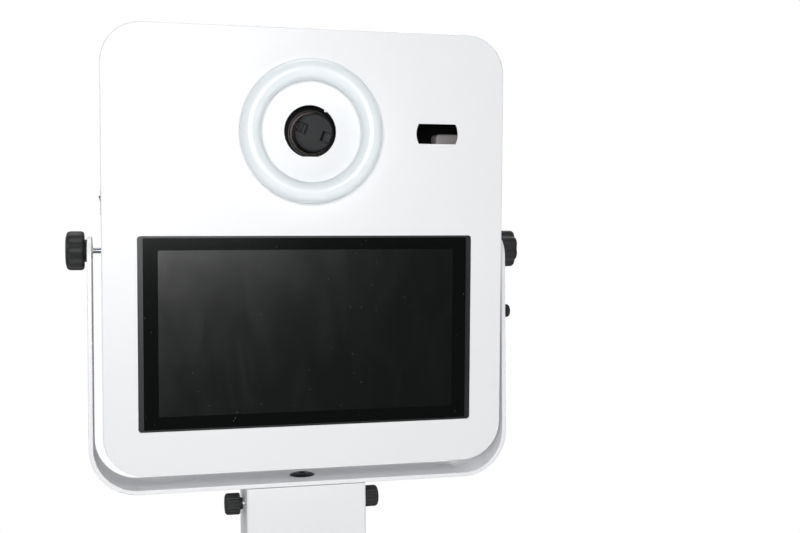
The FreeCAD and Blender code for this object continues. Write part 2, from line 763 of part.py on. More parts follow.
def make_rear_door():
    width = s.case_width - s.door_margin * 2
    height = s.case_height - s.door_margin * 2
    panel = plate("Y", rear + s.door_thick, s.door_thick,
                  rectangle(width, height, s.case_corner / 2, 0, s.case_rise))
    slot_length, slot_height, pitch, count = size(110), size(4), size(12), 10
    slot_place = slot_length * 0.75
    tools = []
    for side in (-1, 1):
        for i in range(count):
            level = s.feature_rise - (i - (count - 1) / 2) * pitch
            tools.append(block((slot_length, s.door_thick + over * 2, slot_height),
                               (side * slot_place, rear + s.door_thick / 2, level)))
    lock_place = (lock_offset, rear - over, s.case_rise)
    tools.append(rod(lock_barrel_radius, s.door_thick + over * 2, lock_place, "+Y"))
    on_head("rear_door", cut(panel, *tools))
    make_hinges(width)
    make_lock()


def make_hinges(width):
    """Two butt hinges on the door's left edge: fixed leaves, door leaves and pins."""
    leaf_thick, leaf_wide, long = size(1.5), size(18), size(60)
    knuckle, pin, beside, spread, head = size(3.2), size(1.5), size(4), size(180), size(1)
    axis_x = -width / 2 - beside
    axis_y = rear + knuckle + s.run_fit
    leaf_mid = beside + leaf_wide / 2
    lug, lug_mid = beside + over, (beside + over) / 2
    third, part = long / 3, long / 3 - s.free_gap
    fixed, moving, pins = [], [], []
    for level in (s.case_rise - spread, s.case_rise + spread):
        low = level - long / 2
        bore = rod(pin + s.run_fit, long + over * 2, (axis_x, axis_y, low - over))
        plate_y = rear + leaf_thick / 2
        fixed_pieces = [block((leaf_wide, leaf_thick, long), (axis_x - leaf_mid, plate_y, level))]
        for side in (-1, 1):
            mid = level + side * third
            fixed_pieces.append(rod(knuckle, part, (axis_x, axis_y, mid - part / 2)))
            fixed_pieces.append(block((lug, leaf_thick, part), (axis_x - lug_mid, plate_y, mid)))
        fixed.append(cut(fuse(*fixed_pieces), bore))
        door_y = rear + s.door_thick + leaf_thick / 2
        flat = block((leaf_wide, leaf_thick, long), (axis_x + leaf_mid, door_y, level))
        tongue = block((lug, leaf_thick, part), (axis_x + lug_mid, door_y, level))
        middle = rod(knuckle, part, (axis_x, axis_y, level - part / 2))
        moving.append(cut(fuse(flat, tongue, middle), bore))
        pins.append(fuse(rod(pin, long, (axis_x, axis_y, low)),
                         rod(knuckle * 0.8, head, (axis_x, axis_y, low + long))))
    on_head("hinge_fixed_leaves", group(*fixed))
    on_head("hinge_door_leaves", group(*moving))
    on_head("hinge_pins", group(*pins))


def make_lock():
    """Cam lock by the door's right edge; its cam turns behind the doorway's lip."""
    deep, head, head_lap, plug = size(12), size(2), size(3), size(5)
    start = rear - deep
    outside = rear + s.door_thick
    length = deep + s.door_thick
    barrel = fuse(rod(lock_barrel_radius, length, (lock_offset, start, s.case_rise), "+Y"),
                  rod(lock_barrel_radius + head_lap, head, (lock_offset, outside, s.case_rise), "+Y"))
    bore = rod(plug + s.run_fit, length + head + over * 2, (lock_offset, start - over, s.case_rise), "+Y")
    on_head("lock_barrel", cut(barrel, bore))
    slot_wide, slot_deep = size(1.5), head
    key_slot = block((slot_wide, slot_deep + over, plug * 1.2),
                     (lock_offset, outside + head - slot_deep / 2 + over / 2, s.case_rise))
    spindle = cut(rod(plug, length + head, (lock_offset, start, s.case_rise), "+Y"), key_slot)
    cam_thick, cam_reach, cam_wide = size(2), size(30), size(14)
    cam_y = start - s.free_gap / 2 - cam_thick / 2
    cam = block((cam_wide, cam_thick, cam_reach),
                (lock_offset, cam_y, s.case_rise + cam_reach / 2 - cam_wide / 2))
    neck_radius = plug * 0.8
    neck = rod(neck_radius, s.free_gap + over, (lock_offset, start - s.free_gap, s.case_rise), "+Y")
    on_head("lock_cam", fuse(spindle, neck, cam))


# ---------------------------------------------------------------- ring light


def make_ring_light():
    ring = s.ring_outer - s.ring_tube
    mid = front - s.ring_seat

    def torus(section):
        made = doc.addObject("Part::Torus", fresh("torus"))
        bind(made, "Radius1", ring)
        bind(made, "Radius2", section)
        return put(made, (0, mid, s.feature_rise), ALONG["-Y"])

    reach = (s.ring_outer + over) * 2
    behind = block((reach, s.ring_tube * 2, reach), (0, front + s.ring_tube, s.feature_rise))
    half_width, base_thick, board_thick, board_inset = size(5), size(1), size(1.6), size(1)
    chip_wide, chip_tall, chip_sunk = size(3.5), size(1), size(0.1)
    channel_half, channel_deep = half_width + s.run_fit, base_thick + board_thick + chip_tall * 2
    channel = tube(ring + channel_half, ring - channel_half, channel_deep,
                   (0, front - channel_deep, s.feature_rise), "+Y")
    on_head("ring_diffuser", cut(torus(s.ring_tube), torus(s.ring_tube - s.ring_wall), channel, behind))

    base_front = front - base_thick
    centre = (0, base_front, s.feature_rise)
    on_head("ring_base", tube(ring + half_width, ring - half_width, base_thick, centre, "+Y"))
    board_front = base_front - board_thick
    board = tube(ring + half_width - board_inset, ring - half_width + board_inset, board_thick,
                 (0, board_front, s.feature_rise), "+Y")
    chip_y = board_front - chip_tall / 2 + chip_sunk
    chips, count = [], 36
    for i in range(count):
        angle = 360 * i / count
        chips.append(block((chip_wide, chip_tall, chip_wide),
                           (ring * cosine(angle), chip_y, s.feature_rise + ring * sine(angle))))
    on_head("led_ring", fuse(board, *chips))


# ---------------------------------------------------------------- monitor


def make_monitor():
    outer_w = s.screen_width - s.screen_gap * 2
    outer_h = s.screen_height - s.screen_gap * 2
    face, flange_thick, flange_lap = s.case_edge / 4, size(3), size(8)
    flange_back = s.case_wall + flange_thick
    frame_back = s.glass_thick + 10
    glass_sunk, glass_margin, glass_fit, inner_corner = size(0.3), size(2), size(0.2), size(1)
    lcd_fit = size(0.5)
    rim = plate("Y", at_depth(frame_back), frame_back - face,
                rectangle(outer_w, outer_h, s.screen_corner - s.screen_gap, 0, screen_mid))
    flange = plate("Y", at_depth(flange_back), flange_back - s.case_wall,
                   rectangle(outer_w + flange_lap * 2, outer_h + flange_lap * 2,
                             s.screen_corner, 0, screen_mid))
    glass_w, glass_h = outer_w - s.rim_width * 2, outer_h - glass_margin * 2
    glass_back = face + glass_sunk + s.glass_thick
    recess = plate("Y", at_depth(glass_back), glass_back + over,
                   rectangle(glass_w, glass_h, inner_corner, 0, screen_mid))
    through = plate("Y", at_depth(frame_back + over), frame_back + over * 2,
                    rectangle(s.lcd_width + lcd_fit * 2, s.lcd_height + lcd_fit * 2,
                              inner_corner, 0, screen_mid))
    grille_x = outer_w / 2 - s.rim_width / 2
    grille_w, grille_t, grille_fit = s.rim_width - 2, size(1.5), size(0.2)
    grille_y = at_depth(face + grille_t / 2)
    slots = [
        block((grille_w, grille_t, s.grille_length), (side * grille_x, grille_y, screen_mid))
        for side in (-1, 1)
    ]
    on_head("monitor_frame", cut(fuse(rim, flange), recess, through, *slots))

    on_head("touch_glass", plate("Y", at_depth(glass_back), s.glass_thick,
                                 rectangle(glass_w - glass_fit * 2, glass_h - glass_fit * 2,
                                           inner_corner, 0, screen_mid)))

    pitch, hole = size(4), size(0.9)
    count = 37
    strips = []
    for side in (-1, 1):
        strip = block((grille_w - grille_fit, grille_t, s.grille_length - grille_fit),
                      (side * grille_x, grille_y, screen_mid))
        holes = [
            rod(hole, grille_t + over * 2, (side * grille_x, grille_y - grille_t / 2 - over,
                                            screen_mid + (i - (count - 1) / 2) * pitch), "+Y")
            for i in range(count)
        ]
        strips.append(cut(strip, *holes))
    on_head("speaker_grilles", group(*strips))

    lcd_thick = frame_back - glass_back
    on_head("lcd_panel", block((s.lcd_width, lcd_thick - lcd_fit, s.lcd_height),
                               (0, at_depth(glass_back + lcd_thick / 2), screen_mid)))

    cover_back = frame_back + s.back_cover_depth
    cover_wall, cover_corner = size(2), size(8)
    cover_w, cover_h = outer_w - cover_corner, outer_h - cover_corner
    cover = plate("Y", at_depth(cover_back), s.back_cover_depth,
                  rectangle(cover_w, cover_h, cover_corner, 0, screen_mid))
    hollow = plate("Y", at_depth(cover_back - cover_wall), s.back_cover_depth,
                   rectangle(cover_w - cover_wall * 2, cover_h - cover_wall * 2,
                             cover_corner - cover_wall, 0, screen_mid))
    on_head("monitor_back_cover", cut(cover, hollow))
    make_equipment(cover_back)


def make_equipment(cover_back):
    """Hat-shaped plate over the monitor that carries the computer and the power supply."""
    sheet_thick, foot, rise = size(2), size(14), size(150)
    base = at_depth(s.case_wall)
    top = at_depth(s.plate_setback + sheet_thick)
    low, high = screen_mid - rise, screen_mid + rise
    inner_top = top - sheet_thick
    foot_top_y = base + sheet_thick
    corners = [
        (base, low - foot, 0), (foot_top_y, low - foot, 0), (foot_top_y, low - sheet_thick, 0),
        (top, low - sheet_thick, 0), (top, high + sheet_thick, 0), (foot_top_y, high + sheet_thick, 0),
        (foot_top_y, high + foot, 0), (base, high + foot, 0), (base, high, 0),
        (inner_top, high, 0), (inner_top, low, 0), (base, low, 0),
    ]
    on_head("equipment_plate", plate("X", -s.plate_width / 2, s.plate_width, corners))

    vesa, spacer_radius = size(50), size(4)
    gap = inner_top - at_depth(cover_back)
    spacers = [
        rod(spacer_radius, gap, (i * vesa, at_depth(cover_back), screen_mid + j * vesa), "+Y")
        for i in (-1, 1) for j in (-1, 1)
    ]
    on_head("monitor_spacers", group(*spacers))
    nut_inset, nut_flats, nut_height = size(20), size(8), size(4)
    nut_x, nut_z = s.plate_width / 2 - nut_inset, rise + foot / 2 + sheet_thick / 2
    nuts = [
        hexagon(nut_flats, nut_height, (i * nut_x, foot_top_y, screen_mid + j * nut_z), "+Y")
        for i in (-1, 1) for j in (-1, 1)
    ]
    on_head("equipment_nuts", group(*nuts))

    def boxed(name, rear_face, lengths, corner, across, up):
        """A rounded box along Y, its rear face at a given depth; its corners run along Y."""
        wide, deep, high = (size(length) for length in lengths)
        on_head(name, plate("Y", rear_face, deep, rectangle(wide, high, corner, across, up)))

    computer_deep, supply_deep, driver_deep = size(46), size(32), size(30)
    boxed("mini_pc", top + computer_deep, (118, computer_deep, 112), 10, -75, screen_mid + 60)
    boxed("power_supply", top + supply_deep, (62, supply_deep, 140), 4, 80, screen_mid + 40)
    driver_left, driver_front, driver_tall = size(219), s.case_depth - 35, size(110)
    driver_wide = wall_half - s.case_wall - driver_left
    driver_mid = s.feature_rise + 8 - driver_tall / 2
    boxed("led_driver", at_depth(driver_front + driver_deep), (driver_wide, driver_deep, driver_tall),
          5, driver_left + driver_wide / 2, driver_mid)


# ---------------------------------------------------------------- camera and lens


def make_camera():
    axis_x, axis_z = s.lens_offset, lens_axis
    nose_front = s.cap_setback + s.cap_thick + s.free_gap
    barrel_front, mount = size(44), size(82)
    mount_radius, mount_long = s.barrel_radius - 3, size(6)

    def ring(radius, start, end, bore=None):
        place = (axis_x, at_depth(start), axis_z)
        length = size(end) - start
        return rod(radius, length, place, "+Y") if bore is None else tube(radius, bore, length, place, "+Y")

    barrel = fuse(ring(s.nose_radius, nose_front, barrel_front + over),
                  ring(s.barrel_radius, barrel_front, mount - mount_long),
                  ring(mount_radius, mount - mount_long, mount))
    glass_seat, seat_deep = s.nose_radius - lens_rim, size(12)
    on_head("lens_barrel", cut(barrel, ring(glass_seat, nose_front - over, nose_front + seat_deep)))
    glass_front, glass_long = nose_front + 4, size(5)
    on_head("front_lens", ring(glass_seat - s.run_fit, glass_front, glass_front + glass_long))
    trim_wide, trim_long = size(4), size(2)
    on_head("lens_trim_ring", ring(s.nose_radius + trim_wide, barrel_front - trim_long, barrel_front,
                                   s.nose_radius))
    focus_front, focus_long, focus_stand = barrel_front + 8, size(16), size(2)
    on_head("focus_ring", ring(s.barrel_radius + focus_stand, focus_front, focus_front + focus_long,
                               s.barrel_radius + s.run_fit))
    make_camera_body(axis_x, axis_z, mount)


def make_camera_body(axis_x, axis_z, mount):
    """Body with grip, viewfinder hump and rear screen, standing on an angle tray."""
    body_back = mount + s.camera_depth
    body_mid = mount + s.camera_depth / 2
    floor = axis_z - s.camera_height / 2
    corner, shoulder_drop, grip_wide = size(9), size(14), size(30)
    shoulder = axis_z + s.camera_height / 2 - shoulder_drop
    body_x = axis_x - 3
    body_tall = s.camera_height - shoulder_drop
    body = plate("Y", at_depth(body_back), s.camera_depth,
                 rectangle(s.camera_width, body_tall, corner, body_x, floor + body_tall / 2))
    grip_x = body_x - s.camera_width / 2 + grip_wide / 2
    grip_deep, grip_sunk, grip_tall = size(24), size(10), body_tall - 4
    grip = plate("Y", at_depth(mount + grip_sunk), grip_deep,
                 rectangle(grip_wide, grip_tall, corner, grip_x, floor + grip_tall / 2))
    hump_half, hump_low, hump_high = size(28), axis_z + 20, axis_z + s.camera_height / 2 + 2
    foot_inset, crown_inset = size(2), size(8)
    hump = plate("X", axis_x - hump_half, hump_half * 2, [
        (at_depth(mount + foot_inset), hump_low),
        (at_depth(body_back - foot_inset * 3), hump_low),
        (at_depth(body_back - crown_inset - foot_inset * 2), hump_high),
        (at_depth(mount + crown_inset), hump_high),
    ], polygon)
    screen_wide, screen_tall, screen_thick = size(78), size(56), size(3)
    screen = plate("Y", at_depth(body_back + screen_thick), screen_thick,
                   rectangle(screen_wide, screen_tall, screen_thick, axis_x - 6, axis_z - 12))

    button, button_tall, button_deep = size(5), size(7), size(8)
    button_y = at_depth(mount - 4)
    button_foot = shoulder - button_tall + 1
    button_seat = rod(button + s.free_gap, button_deep + over * 2, (grip_x, button_y, shoulder - button_deep))
    thread, thread_deep = size(3.2), size(7)
    tripod = rod(thread, thread_deep + over, (axis_x, at_depth(body_mid), floor - over))
    dial_x, dial_y = axis_x + 44, at_depth(body_mid)
    spindle, spindle_deep, dial_radius, dial_tall = size(3), size(5), size(9), size(7)
    dial_seat = rod(spindle + s.run_fit, spindle_deep + over * 3,
                    (dial_x, dial_y, shoulder - spindle_deep - over))
    on_head("camera_body", cut(fuse(body, grip, hump, screen), button_seat, dial_seat, tripod))
    on_head("shutter_button", rod(button, button_tall, (grip_x, button_y, button_foot)))
    dial = rod(dial_radius, dial_tall, (dial_x, dial_y, shoulder + s.free_gap))
    dial_pin = rod(spindle, spindle_deep + over, (dial_x, dial_y, shoulder - spindle_deep))
    on_head("mode_dial", fuse(dial, dial_pin))

    tray_thick, tray_wide, lip_tall, tray_past = size(2), size(150), size(34), size(8)
    lip_front, lip_back = at_depth(s.case_wall), at_depth(s.case_wall + tray_thick)
    tray_back = at_depth(body_back + tray_past)
    tray_under, lip_low = floor - tray_thick, floor - lip_tall
    tray = plate("X", -tray_wide / 2, tray_wide, [
        (lip_front, lip_low, 0), (lip_back, lip_low, 0), (lip_back, tray_under, 0),
        (tray_back, tray_under, 0), (tray_back, floor, 0), (lip_front, floor, 0),
    ])
    slot_wide, slot_long = size(7), size(40)
    slot = block((slot_wide, slot_long, tray_thick + over * 2),
                 (axis_x, at_depth(body_mid), floor - tray_thick / 2))
    on_head("camera_tray", cut(tray, slot))
    screw, screw_rise, screw_head, head_tall = thread - s.run_fit, size(6), size(10), size(8)
    screw_y, screw_foot = at_depth(body_mid), tray_under - tray_thick * 2
    on_head("camera_screw", fuse(rod(screw, tray_thick * 2 + screw_rise, (axis_x, screw_y, screw_foot)),
                                 rod(screw_head, head_tall, (axis_x, screw_y, tray_under - head_tall))))


def make_lens_cap():
    """Pinch cap: a disc with two pockets on a slanted line, each with a sliding tab."""
    tab_w, tab_h, pocket_deep, tab_inset = size(7), size(13), size(3), size(3.5)
    spigot_long, spigot_sunk = size(2.5), size(0.5)
    tab_mid = s.cap_radius - tab_w / 2 - tab_inset
    along = (cosine(s.cap_slant), -sine(s.cap_slant))
    turn = Rotation(Vector(0, 1, 0), s.cap_slant.number)
    disc = rod(s.cap_radius, s.cap_thick, (s.lens_offset, at_depth(s.cap_setback), lens_axis), "+Y")

    def slanted(width, deep, high, middle, setback):
        """Box whose width runs along the tab line, centred on the line at middle."""
        box = doc.addObject("Part::Box", fresh("slanted"))
        for prop, length in zip(("Length", "Width", "Height"), (width, deep, high)):
            bind(box, prop, length)
        half_w, half_h = size(width) / 2, size(high) / 2
        start = middle - half_w
        x = s.lens_offset + start * along[0] - half_h * sine(s.cap_slant)
        z = lens_axis + start * along[1] - half_h * cosine(s.cap_slant)
        return put(box, (x, at_depth(setback), z), turn)

    spigot = rod(s.nose_radius - lens_rim - s.run_fit, spigot_long,
                 (s.lens_offset, at_depth(s.cap_setback + s.cap_thick - spigot_sunk), lens_axis), "+Y")
    pockets, tabs = [], []
    for word, side in (("left", -1), ("right", 1)):
        room = tab_w + s.tab_travel + s.free_gap * 2
        middle = side * (tab_mid - s.tab_travel / 2)
        room_tall = tab_h + s.free_gap * 2
        pockets.append(slanted(room, pocket_deep + over, room_tall, middle, s.cap_setback - over))
        tabs.append((word, slanted(tab_w, pocket_deep - s.free_gap, tab_h, side * tab_mid, s.cap_setback)))
    on_head("lens_cap", fuse(cut(disc, *pockets), spigot))
    for word, tab in tabs:
        on_head(f"cap_tab_{word}", group(tab))


# ---------------------------------------------------------------- switch and inlet


def make_switch():
    """Rocker switch in the left wall, its upper end standing out; it turns on two trunnions."""
    face = -wall_half
    mid_y = at_depth(rocker_setback)
    bezel, bezel_lap, body_deep = size(1.5), size(3), size(22)
    well_deep, well_wide, well_tall = size(14), size(15), size(24)
    snug = s.run_fit * 2
    bezel_wide, bezel_tall = rocker_body[0] + bezel_lap * 2, rocker_body[1] + bezel_lap * 2
    frame = fuse(block((bezel, bezel_wide, bezel_tall), (face - bezel / 2, mid_y, rocker_rise)),
                 block((body_deep, rocker_body[0] - snug, rocker_body[1] - snug),
                       (face + body_deep / 2, mid_y, rocker_rise)))
    well = block((well_deep, well_wide, well_tall), (face - bezel + well_deep / 2, mid_y, rocker_rise))
    trunnion, trunnion_reach, axis_x = size(1.5), well_wide / 2 + 1, face + 3
    stand_out, stand_in = size(2.6), size(0.6)
    bore_half = trunnion_reach + s.free_gap
    bore = rod(trunnion + s.run_fit, bore_half * 2, (axis_x, mid_y - bore_half, rocker_rise), "+Y")
    on_head("rocker_frame", cut(frame, well, bore))

    half = well_tall / 2 - 2
    thick = well_wide - s.free_gap * 2
    points = [
        (face - bezel - stand_out, rocker_rise + half), (face - bezel + stand_in, rocker_rise - half),
        (face + 1.5, rocker_rise - half), (face + 8, rocker_rise), (face + 2, rocker_rise + half),
    ]
    paddle = plate("Y", mid_y + thick / 2, thick, points, polygon)
    pins = rod(trunnion, trunnion_reach * 2, (axis_x, mid_y - trunnion_reach, rocker_rise), "+Y")
    on_head("rocker", fuse(paddle, pins))


def make_inlet():
    """Three-pin mains inlet in the right wall, long side upright."""
    mid_y = at_depth(inlet_setback)
    face, snug = wall_half, s.run_fit * 2
    flange, flange_lap, body_deep = size(2), size(2), size(24)
    socket_deep, socket_wide, socket_tall, socket_floor = size(18), size(15.5), size(23.5), size(15.5)
    pin_long, pin_wide, pin_thick, pin_shift, pin_spread = size(13), size(4), size(2), size(2.5), size(7)
    body = fuse(block((flange, inlet_body[0] + flange_lap * 2, inlet_body[1] + flange_lap * 2),
                      (face + flange / 2, mid_y, inlet_rise)),
                block((body_deep, inlet_body[0] - snug, inlet_body[1] - snug),
                      (face - body_deep / 2, mid_y, inlet_rise)))
    socket = block((socket_deep, socket_wide, socket_tall),
                   (face - socket_floor + socket_deep / 2, mid_y, inlet_rise))
    pin_x = face - socket_floor - over / 2 + pin_long / 2
    pins = [
        block((pin_long, pin_wide, pin_thick), (pin_x, mid_y + shift, inlet_rise + up))
        for shift, up in ((0, 0), (-pin_shift, pin_spread), (-pin_shift, -pin_spread))
    ]
    on_head("mains_inlet", fuse(cut(body, socket), *pins))


# ---------------------------------------------------------------- build, check, write

make_stand()
make_mast()
make_yoke()
make_pivot_knobs()
make_clamp_knobs()
make_tilt_lock()
make_head_shell()
make_rear_door()
make_ring_light()
make_monitor()
make_camera()
make_lens_cap()
make_switch()
make_inlet()
doc.recompute()

for thing in doc.Objects:
    if {"Invalid", "Error"} & set(thing.State):
        raise RuntimeError(f"{thing.Name} ({thing.Label}) failed: {thing.State}")

os.makedirs("parts", exist_ok=True)
for name, thing in NODES.items():
    shape = thing.Shape
    if shape.isNull() or not shape.isValid() or not shape.Solids:
        raise RuntimeError(f"{name}: bad shape")
    if any(solid.Volume <= 0 for solid in shape.Solids):
        raise RuntimeError(f"{name}: empty solid")
for name, thing in NODES.items():
    thing.Shape.exportStep(f"parts/{name}.step")
print(len(NODES), "nodes written")
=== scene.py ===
import json
import math

import bmesh
import bpy
from mathutils import Euler, Matrix, Vector


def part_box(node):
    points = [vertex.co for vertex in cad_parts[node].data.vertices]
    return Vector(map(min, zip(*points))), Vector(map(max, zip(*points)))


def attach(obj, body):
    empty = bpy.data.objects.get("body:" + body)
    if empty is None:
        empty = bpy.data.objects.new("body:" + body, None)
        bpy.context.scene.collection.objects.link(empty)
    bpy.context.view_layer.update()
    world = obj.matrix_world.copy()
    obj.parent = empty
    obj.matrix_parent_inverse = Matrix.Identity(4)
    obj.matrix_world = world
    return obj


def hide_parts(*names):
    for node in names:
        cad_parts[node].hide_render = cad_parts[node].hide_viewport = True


bl_info = {
    "name": "Photo Booth Finish",
    "version": (1, 0, 0),
    "blender": (4, 5, 0),
    "location": "3D View > Sidebar > Photo Booth",
    "description": "Gives the photo booth's frame its finished pieces, materials and studio",
    "category": "Object",
}

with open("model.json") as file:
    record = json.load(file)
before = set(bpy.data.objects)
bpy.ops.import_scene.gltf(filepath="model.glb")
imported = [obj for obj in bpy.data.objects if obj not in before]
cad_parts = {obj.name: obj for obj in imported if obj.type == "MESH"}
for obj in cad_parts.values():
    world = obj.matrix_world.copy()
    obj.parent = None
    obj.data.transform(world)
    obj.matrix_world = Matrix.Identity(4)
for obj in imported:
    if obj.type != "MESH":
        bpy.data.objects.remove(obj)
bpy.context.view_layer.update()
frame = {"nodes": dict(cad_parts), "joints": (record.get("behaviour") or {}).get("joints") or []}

MM = 0.001
JOINTS = {joint["name"]: joint for joint in frame["joints"]}
HERE = Matrix.Identity(4)


def head_space():
    """The leaning head's own frame: origin on the tilt pivot, Y into the case, Z up its front."""
    outward = Vector(JOINTS["lens_cap_pull"]["axis"])
    lean = math.atan2(-outward.z, -outward.y)
    return Matrix.Translation(JOINTS["head_tilt"]["pos_m"]) @ Matrix.Rotation(lean, 4, "X")


HEAD = head_space()


def along(point, direction):
    """A frame at that point whose Z runs along that direction."""
    return Matrix.Translation(point) @ Vector(direction).to_track_quat("Z", "Y").to_matrix().to_4x4()


def joint_space(name, sign=1):
    """A frame at a joint, its Z along the joint's axis, or against it when the sign is -1."""
    joint = JOINTS[name]
    return along(joint["pos_m"], sign * Vector(joint["axis"]))


def box_in(space, *nodes):
    """Lowest and highest corner of CAD nodes, measured in that frame."""
    inward = space.inverted()
    spots = [inward @ vertex.co for node in nodes for vertex in frame["nodes"][node].data.vertices]
    return Vector(map(min, zip(*spots))), Vector(map(max, zip(*spots)))


# ---------------------------------------------------------------- sizes and colours


def linear(code):
    """Linear RGBA of an sRGB hex colour."""
    parts = [int(code[i:i + 2], 16) / 255 for i in (0, 2, 4)]
    return (*[p / 12.92 if p <= 0.04045 else ((p + 0.055) / 1.055) ** 2.4 for p in parts], 1.0)


def length(name, description, millimetres):
    return bpy.props.FloatProperty(
        name=name, description=description, default=millimetres * MM, unit="LENGTH", min=0)


def colour(name, description, code):
    return bpy.props.FloatVectorProperty(
        name=name, description=description, default=linear(code), subtype="COLOR", size=4, min=0, max=1)


def number(name, description, default):
    return bpy.props.IntProperty(name=name, description=description, default=default, min=3)


class BoothSizes(bpy.types.PropertyGroup):
    """Sizes of the finished pieces that the frame leaves open"""

    knob_lobes: number("Knob lobes", "Lobes round each pivot knob", 7)
    knob_scallop: length("Knob scallop", "Depth of the hollows between a pivot knob's lobes", 3.5)
    clamp_flutes: number("Clamp knob flutes", "Flutes round each clamp knob", 24)
    lock_flutes: number("Lock knob flutes", "Flutes round the tilt lock knob", 18)
    flute_depth: length("Flute depth", "Depth of the small knobs' flutes", 0.8)
    thread_pitch: length("Thread pitch", "Pitch of the knobs' threaded studs", 1.25)
    thread_depth: length("Thread depth", "Depth of the studs' thread", 0.6)
    plate_edge: length("Plate edge", "Rounding of the base plates' edges", 1.2)
    focus_ribs: number("Focus ribs", "Ribs round the lens's focus ring", 54)
    cap_rim: length("Cap rim", "Width of the lens cap's sloping rim", 2.2)
    floor_radius: bpy.props.FloatProperty(
        name="Floor radius", description="Radius of the studio floor", default=3.0, unit="LENGTH")


class BoothColours(bpy.types.PropertyGroup):
    """Colours of the finishes"""

    white_coat: colour("White coat", "Powder coat on case, yoke and column", "F1F2F4")
    black_coat: colour("Black coat", "Powder coat on the base plate", "26272A")
    opal: colour("Opal", "Ring light diffuser", "EFF6F9")
    knob: colour("Knob", "Moulded nylon of the knobs", "18191A")
    monitor: colour("Monitor", "Moulded frame of the monitor", "1B1A1D")
    screen: colour("Screen", "Switched-off panel behind the touch glass", "0A0D0C")
    cap: colour("Lens cap", "Moulded lens cap", "0F1114")
    lens: colour("Lens", "Lens barrel and camera body", "1D1D1F")
    zinc: colour("Zinc", "Zinc plate on brackets and nuts", "C5C8CB")
    floor: colour("Floor", "Studio floor", "F2F2F2")


# ---------------------------------------------------------------- materials


def add(tree, kind, values=None, links=None, **settings):
    """Add a node, set its properties and input values, and link its inputs."""
    node = tree.nodes.new("ShaderNode" + kind)
    for name, value in settings.items():
        setattr(node, name, value)
    for name, value in (values or {}).items():
        node.inputs[name].default_value = value
    for name, socket in (links or {}).items():
        tree.links.new(socket, node.inputs[name])
    return node


def between(tree, value, low, high, start=0.0, end=1.0):
    """A value mapped so that start gives low and end gives high."""
    limits = {"From Min": start, "From Max": end, "To Min": low, "To Max": high}
    return add(tree, "MapRange", limits, {"Value": value}).outputs["Result"]


def shade(hue, factor):
    """The same colour, lighter or darker."""
    return (*[min(1.0, part * factor) for part in hue[:3]], 1.0)


class Surface:
    """A material in the making, with the steps that the finishes share."""

    def __init__(self, name, hue, values):
        """Start from a Principled shader and the piece's Object coordinates."""
        self.material = bpy.data.materials.new(name)
        self.material.use_nodes = True
        self.material.diffuse_color = hue
        self.tree = self.material.node_tree
        self.shader = self.tree.nodes["Principled BSDF"]
        for socket, value in {"Base Color": hue, **values}.items():
            self.shader.inputs[socket].default_value = value
        self.place = add(self.tree, "TexCoord").outputs["Object"]

    def feed(self, socket, value):
        """Link a value to an input of the shader."""
        self.tree.links.new(value, self.shader.inputs[socket])

    def squeezed(self, **settings):
        """The Object coordinates, scaled or turned."""
        return add(self.tree, "Mapping", settings, {"Vector": self.place}).outputs["Vector"]

    def pattern(self, kind, repeat_mm, place=None, feature=None, **values):
        """Value of a texture that repeats once in that many millimetres."""
        settings = {"feature": feature} if feature else {}
        texture = add(self.tree, "Tex" + kind, {"Scale": 1000 / repeat_mm, **values},
                      {"Vector": place or self.place}, **settings)
        return texture.outputs["Distance" if kind == "Voronoi" else "Fac"]

    def tint(self, value, first, last):
        """Let the base colour run between two colours with a value."""
        ramp = add(self.tree, "ValToRGB", links={"Fac": value})
        for stop, hue in zip(ramp.color_ramp.elements, (first, last)):
            stop.color = hue
        self.feed("Base Color", ramp.outputs["Color"])

    def gloss(self, value, low, high, start=0.0, end=1.0):
        """Let the roughness run between two levels with a value."""
        self.feed("Roughness", between(self.tree, value, low, high, start, end))

    def emboss(self, height, strength, depth_mm, invert=False):
        """Raise a value as fine relief, or sink it when inverted."""
        bump = add(self.tree, "Bump", {"Strength": strength, "Distance": depth_mm * MM},
                   {"Height": height}, invert=invert)
        self.feed("Normal", bump.outputs["Normal"])


def powder_coated_steel(name, hue, peel_mm, peel_depth_mm, roughness):
    """Sheet steel sprayed with polyester powder and baked: an even satin skin with a faint orange
    peel, and a barely uneven tone where the powder lies thicker. The peel is drawn coarser than
    the real 0.5 mm so that it shows."""
    skin = Surface(name, hue, {"Roughness": roughness, "IOR": 1.5})
    skin.tint(skin.pattern("Noise", 180, Detail=2.0), shade(hue, 0.985), shade(hue, 1.01))
    peel = skin.pattern("Noise", peel_mm, Detail=3.0)
    skin.gloss(peel, roughness - 0.05, roughness + 0.05, 0.3, 0.7)
    skin.emboss(peel, 0.5, peel_depth_mm)
    return skin.material


def zinc_plated_steel(hue):
    """Steel electroplated with bright zinc: cool and metallic, mottled in patches a few
    millimetres wide where the passivation lies thicker."""
    skin = Surface("zinc_plated_steel", hue, {"Metallic": 1.0, "Roughness": 0.3})
    patches = skin.pattern("Voronoi", 6, feature="SMOOTH_F1", Randomness=1.0)
    skin.tint(patches, shade(hue, 0.86), shade(hue, 1.08))
    skin.gloss(skin.pattern("Noise", 1.5, Detail=4.0), 0.22, 0.42)
    return skin.material


def black_oxide_steel():
    """Machined steel with a black oxide finish: blue-black, oily and slightly uneven in gloss."""
    skin = Surface("black_oxide_steel", linear("34363B"), {"Metallic": 1.0, "Roughness": 0.42})
    skin.gloss(skin.pattern("Noise", 7, Detail=5.0), 0.3, 0.55)
    return skin.material


